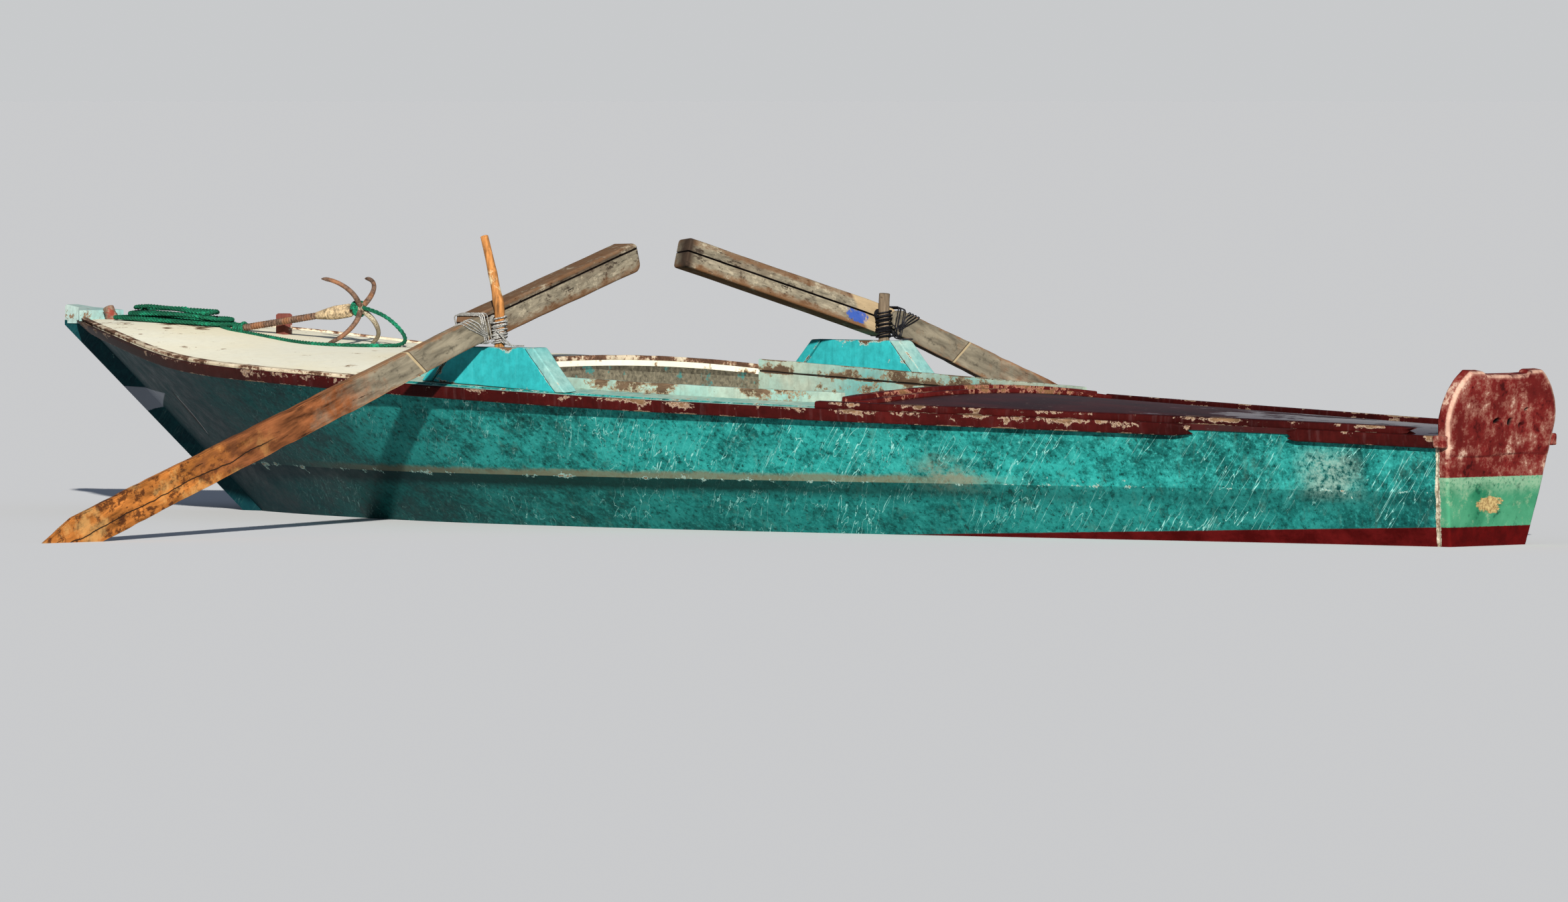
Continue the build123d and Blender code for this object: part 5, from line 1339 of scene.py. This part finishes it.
def on_oar(side_name, slope, lie):
    """Places on an oar, by distance outboard of the pin, distance aft of it and height square to the
    oar: the pin's place, plus out along the slope, aft along the boat and up square to the slope."""
    side, pin_x = SIDES[side_name], PINS[side_name][0]
    out, aft, up = lie[..., 0], lie[..., 1], lie[..., 2]
    return points_of(pin_x + aft, side * (PIN_Y + out * cos(slope) + up * sin(slope)),
                     OAR_Z - out * sin(slope) + up * cos(slope))


def rough_ring(lie, size, seed, scale):
    """A board's rings with their points moved out and in from the rings' middles by noise."""
    middle = lie.mean(1, keepdims=True)
    away = lie - middle
    away[..., 0] = 0
    away /= np.maximum(np.linalg.norm(away, axis=-1, keepdims=True), 1e-9)
    noise = ripple(lie[..., 0] * scale, lie[..., 1] * scale * 3, lie[..., 2] * scale * 3,
                   seed=seed, low=1, high=5)
    return lie + away * (size * noise)[..., None]


def bite(distance, radius):
    """How far a corner rounded by a radius stands back, at a distance from its end."""
    return radius - np.sqrt(np.maximum(radius ** 2 - np.clip(radius - distance, 0, None) ** 2, 0))


def loom_board(side_name, low, high, split, seed):
    """A loom's board: a rounded rectangle carried inboard along the loom's plan, which splays
    toward the bow past its bend; its ends are rounded on the side away from the split."""
    near = side_name == "port"
    last = LOOM_END[side_name]
    out = np.concatenate([LOOM_ROOT - 0.046 * (1 - np.cos(np.linspace(0, pi / 2, 10))),
                          np.linspace(0.055, last + 0.032, 110),
                          last + 0.030 * (1 - np.sin(np.linspace(0.1, pi / 2, 9)))])
    past = np.clip(BEND - out, 0, None)
    splayed = (BEND - out) * tan(SPLAY)
    aft = LOOM_AFT - past * tan(SPLAY)
    fore = LOOM_AFT - LOOM_WIDE - splayed
    square = np.clip(-(out + 0.6) / 0.32, 0, 1) * (0.0094 if near else 0.030)
    upper = split >= high
    rounding = bite(LOOM_ROOT - out, 0.046 if upper else 0.024) + bite(out - last, 0.026 if near else 0.008)
    if upper:
        low = low + rounding * 0.98
    else:
        high = high - rounding * 0.98
    shrink = bite(out - last, 0.004)
    corners = profile((out, aft - shrink, high), (out, aft - shrink, low),
                      (out + square, fore + shrink, low), (out + square, fore + shrink, high))
    taper = np.clip((0.05 - out) / 0.3, 0.25, 1)
    radius = np.array((0.0025, 0.013, 0.013, 0.0025) if upper else (0.017, 0.0025, 0.0025, 0.013))
    drawn = rounded(corners, taper[:, None, None] * radius[None, :, None], 6)
    drawn = rough_ring(drawn, 0.0012, seed, 9)
    wear = np.repeat(np.array((0.0, 1.0, 1.0, 0.0) if upper else (1.0, 0.0, 0.0, 1.0)), 6)
    return carried(on_oar(side_name, LOOM_SLOPE, drawn), lie=drawn, wear=wear)


def blade_plank(side_name, seed):
    """An oar's plank: a rounded rectangle carried outboard, round at its root, wider toward the tip
    and cut to a slanting point, with a slight step where its face is joined."""
    out = np.concatenate([0.106 - 0.045 * np.cos(np.linspace(0, pi / 2, 12)), np.linspace(0.112, 0.392, 40),
                          np.linspace(0.396, 0.492, 44), np.linspace(0.50, 2.36, 190),
                          np.linspace(2.37, 2.555, 24)])
    round_root = np.sqrt(np.maximum(0.046 ** 2 - np.clip(0.106 - out, 0, None) ** 2, 0))
    upper = np.interp(out, [0.106, 0.70, 2.18, 2.56], [0.046, 0.053, 0.065, -0.0217])
    lower = np.interp(out, [0.106, 0.70, 2.37, 2.56], [-0.046, -0.053, -0.065, -0.0217])
    upper, lower = np.where(out < 0.106, round_root, upper), np.where(out < 0.106, -round_root, lower)
    nick = 0.0016 * ripple(out * 10, seed=seed + 1, low=1, high=6)
    upper = upper - np.clip(nick, 0, None) * 1.6
    lower = lower + np.clip(-nick, 0, None) * 1.6
    thin = np.interp(out, [0.9, 2.56], [0.0, 0.009])
    aft, fore = 0.002 - thin, -0.036 + thin
    corners = profile((out, aft, upper), (out, aft, lower), (out, fore, lower), (out, fore, upper))
    # points across the aft face, so that the joint shows on it
    drawn = rounded(corners, 0.0065, 6)
    face = np.linspace(0, 1, 22)[None, 1:-1, None]
    between = drawn[:, 5:6] * (1 - face) + drawn[:, 6:7] * face
    drawn = np.concatenate([drawn[:, :6], between, drawn[:, 6:]], 1)
    joint = drawn[..., 0] - 0.4425 - 0.656 * drawn[..., 2]
    step = -0.0022 * (0.5 + 0.5 * np.tanh(joint / 0.0015)) + 0.0028 * np.exp(-(joint / 0.0045) ** 2)
    on_aft = np.zeros(drawn.shape[1])
    on_aft[4:28] = 1
    drawn[..., 1] += step * on_aft * (side_name == "port")
    wear = np.ones(drawn.shape[1])
    wear[7:25] = 0
    return carried(on_oar(side_name, BLADE_SLOPE, rough_ring(drawn, 0.0012, seed, 8)), lie=drawn, wear=wear)


class BOAT_OT_oars(bpy.types.Operator):
    """Makes both oars: two-board looms, their planks and the string round the joints"""
    bl_idname = "boat.oars"
    bl_label = "Oars"

    def execute(self, context):
        mats = material_set()
        thin = sizes().string / 2
        for number, side_name in enumerate(SIDES):
            body = f"{side_name}_oar"
            wood = mats["loom" if side_name == "port" else "far_loom"]
            split = LOOM_SPLIT[side_name]
            boards = ("upper", split + 0.0016, LOOM_HIGH), ("lower", LOOM_LOW, split - 0.0016)
            for label, low, high in boards:
                board = loom_board(side_name, low, high, split, 60 + number * 4 + len(label))
                made(f"{side_name}_{label}_board", [board], wood, body,
                     [f"{side_name}_loom_{label}"])
            made(f"{side_name}_plank", [blade_plank(side_name, 70 + number)], mats["blade"], body,
                 [f"{side_name}_blade"])
            parts = []
            rng = np.random.default_rng(80 + number)
            for turn in range(5):
                at = 0.068 + 0.0075 * turn
                bottom = -0.0655 + 0.0085 * (at - 0.064) / 0.036 + 0.001 * rng.normal()
                shape = np.array([[(0.0055, 0.0455), (0.0055, bottom), (-0.1175, bottom), (-0.1175, 0.0455)]])
                ring = rounded(shape, 0.012, 7)[0]
                ring = np.concatenate([ring, ring[:1]])
                slant = rng.uniform(-0.007, 0.007)
                out = at + slant * np.sin(np.linspace(0, 2 * pi, len(ring)))
                ring = resampled(np.column_stack([out, ring]), 0.006)
                radius = thin * rng.uniform(0.75, 0.95)
                parts.append(carried(tube(on_oar(side_name, LOOM_SLOPE, ring), radius, 8)))
            # strands that cross the plank's root from its upper edge
            for strand in range(4):
                start = 0.135 + 0.016 * strand
                lie = np.array([(start + 0.012, -0.026, 0.0485), (start, -0.006, 0.0500),
                                (start - 0.006, 0.0050, 0.0430), (start - 0.028, 0.0058, 0.022),
                                (0.098 + 0.004 * strand, 0.0068, -0.002 - 0.004 * strand),
                                (0.080 + 0.003 * strand, 0.0066, -0.020 - 0.005 * strand)])
                parts.append(carried(tube(bent(on_oar(side_name, BLADE_SLOPE, lie)), thin * 0.9, 8)))
            string, slot = STRING[side_name]
            made(f"{side_name}_lashing_string", parts, mats[string], body,
                 [f"{side_name}_oar_lashing"], sharp=80)
        return {"FINISHED"}


# The strops' loose ends on the block: aft of the pin, outboard of it, and height, in metres.
LOOSE_ENDS = [
    [(0.020, 0.020, 0.668), (0.036, 0.014, 0.655), (0.060, 0.004, 0.6475), (0.088, 0.008, 0.6462),
     (0.112, 0.016, 0.6462), (0.130, 0.012, 0.6462)],
    [(0.024, 0.012, 0.676), (0.040, 0.020, 0.662), (0.058, 0.016, 0.6500), (0.074, 0.000, 0.6462),
     (0.098, -0.006, 0.6462), (0.108, -0.014, 0.6462)],
    [(0.010, 0.026, 0.700), (0.026, 0.030, 0.690), (0.042, 0.022, 0.6720), (0.056, 0.008, 0.6540),
     (0.070, 0.012, 0.6462), (0.080, 0.016, 0.6462)],
]


class BOAT_OT_strops(bpy.types.Operator):
    """Makes the strops that hold the oars to their pins: string wound up and down each pin"""
    bl_idname = "boat.strops"
    bl_label = "Strops"

    def execute(self, context):
        mats = material_set()
        for number, (side_name, side) in enumerate(SIDES.items()):
            x = PINS[side_name][0]
            inner = PINS[side_name][1] + 0.0036
            a = np.linspace(0, 2 * pi * 15, 15 * 30)
            turn = a / (2 * pi)
            z = np.where(turn < 9, 0.6475 + 0.0105 * turn, 0.7420 - 0.0145 * (turn - 9))
            z = z + 0.0022 * np.sin(a * 0.37 + number) + np.where(turn < 9, 0.003, 0.0075) * np.sin(a + 1.0)
            over = np.clip((turn - 8.7) / 0.6, 0, 1)
            radius = inner * (1 - over) + (inner + 0.0055) * over + 0.0006 * np.sin(a * 2.3)
            winding = points_of(x + radius * np.cos(a), side * PIN_Y + radius * np.sin(a),
                                np.clip(z, 0.6452, 0.7560))
            parts = [carried(tube(winding, 0.0027, 8))]
            # the turns between the pin and the loom
            b = np.linspace(0, 2 * pi * 5, 150)
            toward = np.linspace(-0.019, -0.0325, 150)
            across = points_of(x + toward, side * PIN_Y + 0.0165 * np.cos(b), OAR_Z + 0.0165 * np.sin(b))
            parts.append(carried(tube(across, 0.0027, 8)))
            for end in LOOSE_ENDS:
                points = np.array(end) * (1, side, 1) + (x, side * PIN_Y, 0)
                parts.append(carried(tube(bent(points), 0.0024, 8)))
            string, slot = STRING[side_name]
            made(f"{side_name}_strop_string", parts, mats[string], f"{side_name}_swing",
                 [f"{side_name}_strop"], sharp=80)
        return {"FINISHED"}


# Grapnel

# The shank's two ends, in metres.
CROWN_POINT, EYE_POINT = np.array((-1.950, -0.010, 0.7475)), np.array((-2.560, -0.040, 0.6668))
STEP = 0.0016  # metres between the rings of the shank and its binding


def ribs(pitch, depth, seed):
    """Bumps along a bar, a pitch apart, with noise over them."""
    return lambda i, a: (depth * np.sin(2 * pi * i * STEP / pitch + 0.5 * np.cos(a)) +
                         0.03 * ripple(i * 0.05, np.cos(a), np.sin(a), seed=seed, low=1, high=3))


class BOAT_OT_grapnel(bpy.types.Operator):
    """Makes the grapnel: a ribbed shank, a bound neck, four tapered flukes and the cord at its hub"""
    bl_idname = "boat.grapnel"
    bl_label = "Grapnel"

    def execute(self, context):
        mats = material_set()
        shank = CROWN_POINT - EYE_POINT
        length = np.linalg.norm(shank)
        axis = shank / length
        across = np.cross(axis, (0, 0, 1.0))
        across /= np.linalg.norm(across)
        up = np.cross(across, axis)

        def on_shank(along):
            """Places on the shank's axis, by distance from the eye."""
            return EYE_POINT + along[:, None] * axis

        run = np.arange(0.0, length - 0.020, STEP)
        bar = on_shank(run)
        grips = carried(tube(bar, 0.0120 * np.where(run < 0.004, 0.7, 1), 20, ribs(0.0125, 0.075, 90)))
        made("grapnel_shank", [grips], mats["iron"], "boat", ["anchor_shank"], sharp=60)
        neck = np.arange(length - 0.210, length - 0.040, STEP)
        places = [length - 0.210, length - 0.150, length - 0.120, length - 0.045, length - 0.040]
        swell = np.interp(neck, places, [0.0130, 0.0215, 0.0245, 0.0235, 0.0170])
        binding = carried(tube(on_shank(neck), swell, 28, ribs(0.0072, 0.055, 91)))
        made("grapnel_neck", [binding], mats["bundle"], "boat", sharp=60)
        # the hub, and the cord bound round it
        a = np.linspace(0, 2 * pi * 6, 200)
        hub = on_shank(np.linspace(length - 0.0175, length + 0.0165, 200))
        turn = 0.0178 * (np.cos(a)[:, None] * across + np.sin(a)[:, None] * up)
        full = np.sqrt(np.clip(1 - np.linspace(-0.98, 0.98, 24) ** 4, 0.05, 1))
        crown = carried(tube(on_shank(np.linspace(length - 0.018, length + 0.018, 24)), 0.0165 * full, 24))
        made("grapnel_hub", [crown, carried(tube(hub + turn, 0.0032, 8))], mats["cream_cord"], "boat",
             ["anchor_hub"], sharp=60)
        flukes = []
        for number, degrees in enumerate((45, 135, 225, 315)):
            # the turn is counted from starboard round the shank
            first = np.array((0, 1.0, 0)) - axis * axis[1]
            first /= np.linalg.norm(first)
            side = np.cross(axis, first)
            away = cos(radians(degrees)) * first + sin(radians(degrees)) * side
            plan = arc((0, 0), (0.098, 0.016), (0.168, -0.066), 70)
            line = CROWN_POINT + plan[:, :1] * away + plan[:, 1:] * axis
            share = np.linspace(0, 1, 70)
            radius = 0.0108 - 0.0038 * share
            radius = radius * np.sqrt(np.clip((1.004 - share) / 0.10, 0.02, 1))

            def pits(i, a, seed=95 + number):
                """Shallow bumps of rust."""
                return 0.06 * ripple(i * 0.11, np.cos(a), np.sin(a), seed=seed, low=1, high=3)

            flukes.append(carried(tube(line[6:], radius[6:], 14, pits)))
        made("grapnel_flukes", flukes[:3], mats["iron"], "boat", ["anchor_flukes"], sharp=60)
        made("grapnel_bound_fluke", flukes[3:], mats["cream_cord"], "boat", sharp=60)
        # a knot of the green rope round the shank's eye and one on the hub
        knots = []
        for start, turns, ring in ((0.004, 3.4, 0.0155), (length - 0.018, 2.3, 0.0235)):
            a = np.linspace(0, 2 * pi * turns, int(40 * turns))
            drift = np.linspace(0, 0.0115 * turns, len(a))
            wobble = (ring + 0.0018 * np.sin(a * 1.3))[:, None]
            turning = np.cos(a)[:, None] * across + np.sin(a)[:, None] * up
            knots.append(carried(tube(on_shank(start + drift) + wobble * turning, 0.0062, 10)))
        made("rope_knots", knots, mats["rope"], "boat", sharp=80)
        return {"FINISHED"}


# Rope

# The route of the rope's tail, in metres, from the hank along the deck to the grapnel's crown.
TAIL = [
    (-2.560, -0.088, 0.6661),
    (-2.455, -0.099, 0.6567),
    (-2.350, -0.120, 0.6470),
    (-2.240, -0.149, 0.6374),
    (-2.130, -0.180, 0.6291),
    (-2.025, -0.198, 0.6227),
    (-1.925, -0.190, 0.6186),
    (-1.840, -0.150, 0.6165),
    (-1.776, -0.082, 0.6154),
    (-1.748, 0.005, 0.6150),
    (-1.772, 0.056, 0.6400),
    (-1.818, 0.048, 0.6900),
    (-1.866, 0.010, 0.7350),
    (-1.934, -0.009, 0.7520),
]


# The hank's ends along the boat, its widest half breadth, and points to a turn.
HANK_FORE, HANK_AFT, HANK_HALF, TURN_POINTS = -3.196, -2.606, 0.120, 16
ROPE_STEP, ROPE_LAY = 0.006, 0.052  # metres between the rope's rings, and to one twist of its strands


def hank_points():
    """The hank's turns: long loops whose ends are half circles, from the outer one inward and up in
    three layers, each turn a little longer or shorter than the last, with 16 points a turn."""
    layers = [
        # turns, half breadth of the first and last, height over the deck, how far its ends draw in
        (2, 0.062, 0.036, 0.050, 0.036), (3, 0.098, 0.044, 0.0300, 0.010),
        (4, HANK_HALF, 0.034, 0.0095, -0.012),
    ]
    fore, aft = HANK_FORE, HANK_AFT
    points, turn = [], 0.0
    for turns, first, last, lift, draw in layers:
        steps = turns * TURN_POINTS
        for k in range(steps):
            share = k / steps
            half = first + (last - first) * share if lift < 0.01 else last + (first - last) * share
            angle = 2 * pi * turn + pi / 2
            c, s = cos(angle), sin(angle)
            stretch = (aft - fore) / 2 - draw - 0.012 - 0.020 * abs(sin(2.4 * turn))
            bend = copysign(abs(c) ** 0.5, c)
            x = (fore + aft) / 2 + (stretch - (HANK_HALF - half) * 0.6) * bend + 0.010 * sin(3.1 * turn)
            y = half * copysign(abs(s) ** 0.8, s) + 0.005 * sin(4.3 * turn + 1) * (1 - abs(c))
            hump = 0.006 * sin(5.7 * turn + 2.0 * c)
            points.append((x, y, deck_z(x, y) + lift + (hump if lift > 0.01 else 0.4 * abs(hump))))
            turn += 1 / TURN_POINTS
    return points


class BOAT_OT_rope(bpy.types.Operator):
    """Makes the anchor's rope: loose turns on the foredeck and a tail up to the crown"""
    bl_idname = "boat.rope"
    bl_label = "Anchor rope"

    def execute(self, context):
        mats = material_set()
        route = hank_points() + TAIL
        curve = bpy.data.curves.new("rope_route", "CURVE")
        curve.dimensions = "3D"
        spline = curve.splines.new("NURBS")
        spline.points.add(len(route) - 1)
        spline.points.foreach_set("co", np.c_[np.array(route), np.ones(len(route))].ravel())
        spline.order_u = 3
        spline.use_endpoint_u = True
        spline.resolution_u = 8
        guide = placed("rope_route", curve)
        bpy.context.view_layer.update()
        drawn = bpy.data.meshes.new_from_object(guide)
        path = np.array([v.co[:] for v in drawn.vertices])
        bpy.data.objects.remove(guide)
        path = resampled(path, ROPE_STEP)
        length = float(np.linalg.norm(np.diff(path, axis=0), axis=1).sum())
        d = sizes().rope
        _, normal, binormal = frame_along(path)
        along = np.arange(len(path)) * ROPE_STEP
        parts = []
        for strand in range(3):
            phase = 2 * pi * (along / ROPE_LAY + strand / 3)[:, None]
            centre = path + 0.235 * d * (np.cos(phase) * normal + np.sin(phase) * binormal)
            parts.append(carried(tube(centre, 0.262 * d, 8)))
        rope = made("anchor_rope", parts, mats["rope"], "boat", ["rope_tail", "rope_hank"], sharp=80)
        return {"FINISHED"}


# The model's own pieces

NODE_MATERIALS = {
    "hull": ("stem", "keel"),
    "stem_head": ("stem_head",),
    "side_deck": ("port_side_deck", "starboard_side_deck"),
    "inside": ("fore_bulkhead", "aft_bulkhead", "ribs", "floor_timbers", "floorboards", "thwart",
               "port_riser", "starboard_riser"),
    "peg": ("bow_peg",),
    "post": ("samson_post",),
}


class BOAT_OT_finishes(bpy.types.Operator):
    """Gives the model's own pieces their paints, woods and metal"""
    bl_idname = "boat.finishes"
    bl_label = "Finishes"

    def execute(self, context):
        mats = material_set()
        for mat, nodes in NODE_MATERIALS.items():
            for node in nodes:
                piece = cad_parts[node]
                piece.data.materials.clear()
                piece.data.materials.append(mats[mat])
        return {"FINISHED"}


class BOAT_PT_panel(bpy.types.Panel):
    """Lists the boat's operators, colours and sizes"""
    bl_idname = "BOAT_PT_panel"
    bl_label = "Plank Rowing Boat"
    bl_space_type = "VIEW_3D"
    bl_region_type = "UI"
    bl_category = "Boat"

    def draw(self, context):
        layout = self.layout
        for operator in OPERATORS:
            layout.operator(operator.bl_idname)
        for group, owner in ((BoatColours, colours()), (BoatSizes, sizes())):
            for label in group.__annotations__:
                layout.prop(owner, label)


OPERATORS = (BOAT_OT_stage, BOAT_OT_rope, BOAT_OT_planks, BOAT_OT_edges, BOAT_OT_decks, BOAT_OT_transom,
             BOAT_OT_cockpit, BOAT_OT_tholes, BOAT_OT_oars, BOAT_OT_strops, BOAT_OT_grapnel, BOAT_OT_finishes)
CLASSES = (BoatColours, BoatSizes, *OPERATORS, BOAT_PT_panel)


def register():
    """Adds the boat's classes and its settings to Blender."""
    for cls in CLASSES:
        bpy.utils.register_class(cls)
    bpy.types.Scene.boat_colours = PointerProperty(type=BoatColours)
    bpy.types.Scene.boat_sizes = PointerProperty(type=BoatSizes)


def unregister():
    """Takes them out again."""
    del bpy.types.Scene.boat_sizes
    del bpy.types.Scene.boat_colours
    for cls in reversed(CLASSES):
        bpy.utils.unregister_class(cls)


def main():
    """Builds the boat."""
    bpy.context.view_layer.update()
    register()
    for operator in OPERATORS:
        group, name = operator.bl_idname.split(".")
        getattr(getattr(bpy.ops, group), name)()
    bpy.context.view_layer.update()


if __name__ == "__main__":
    main()
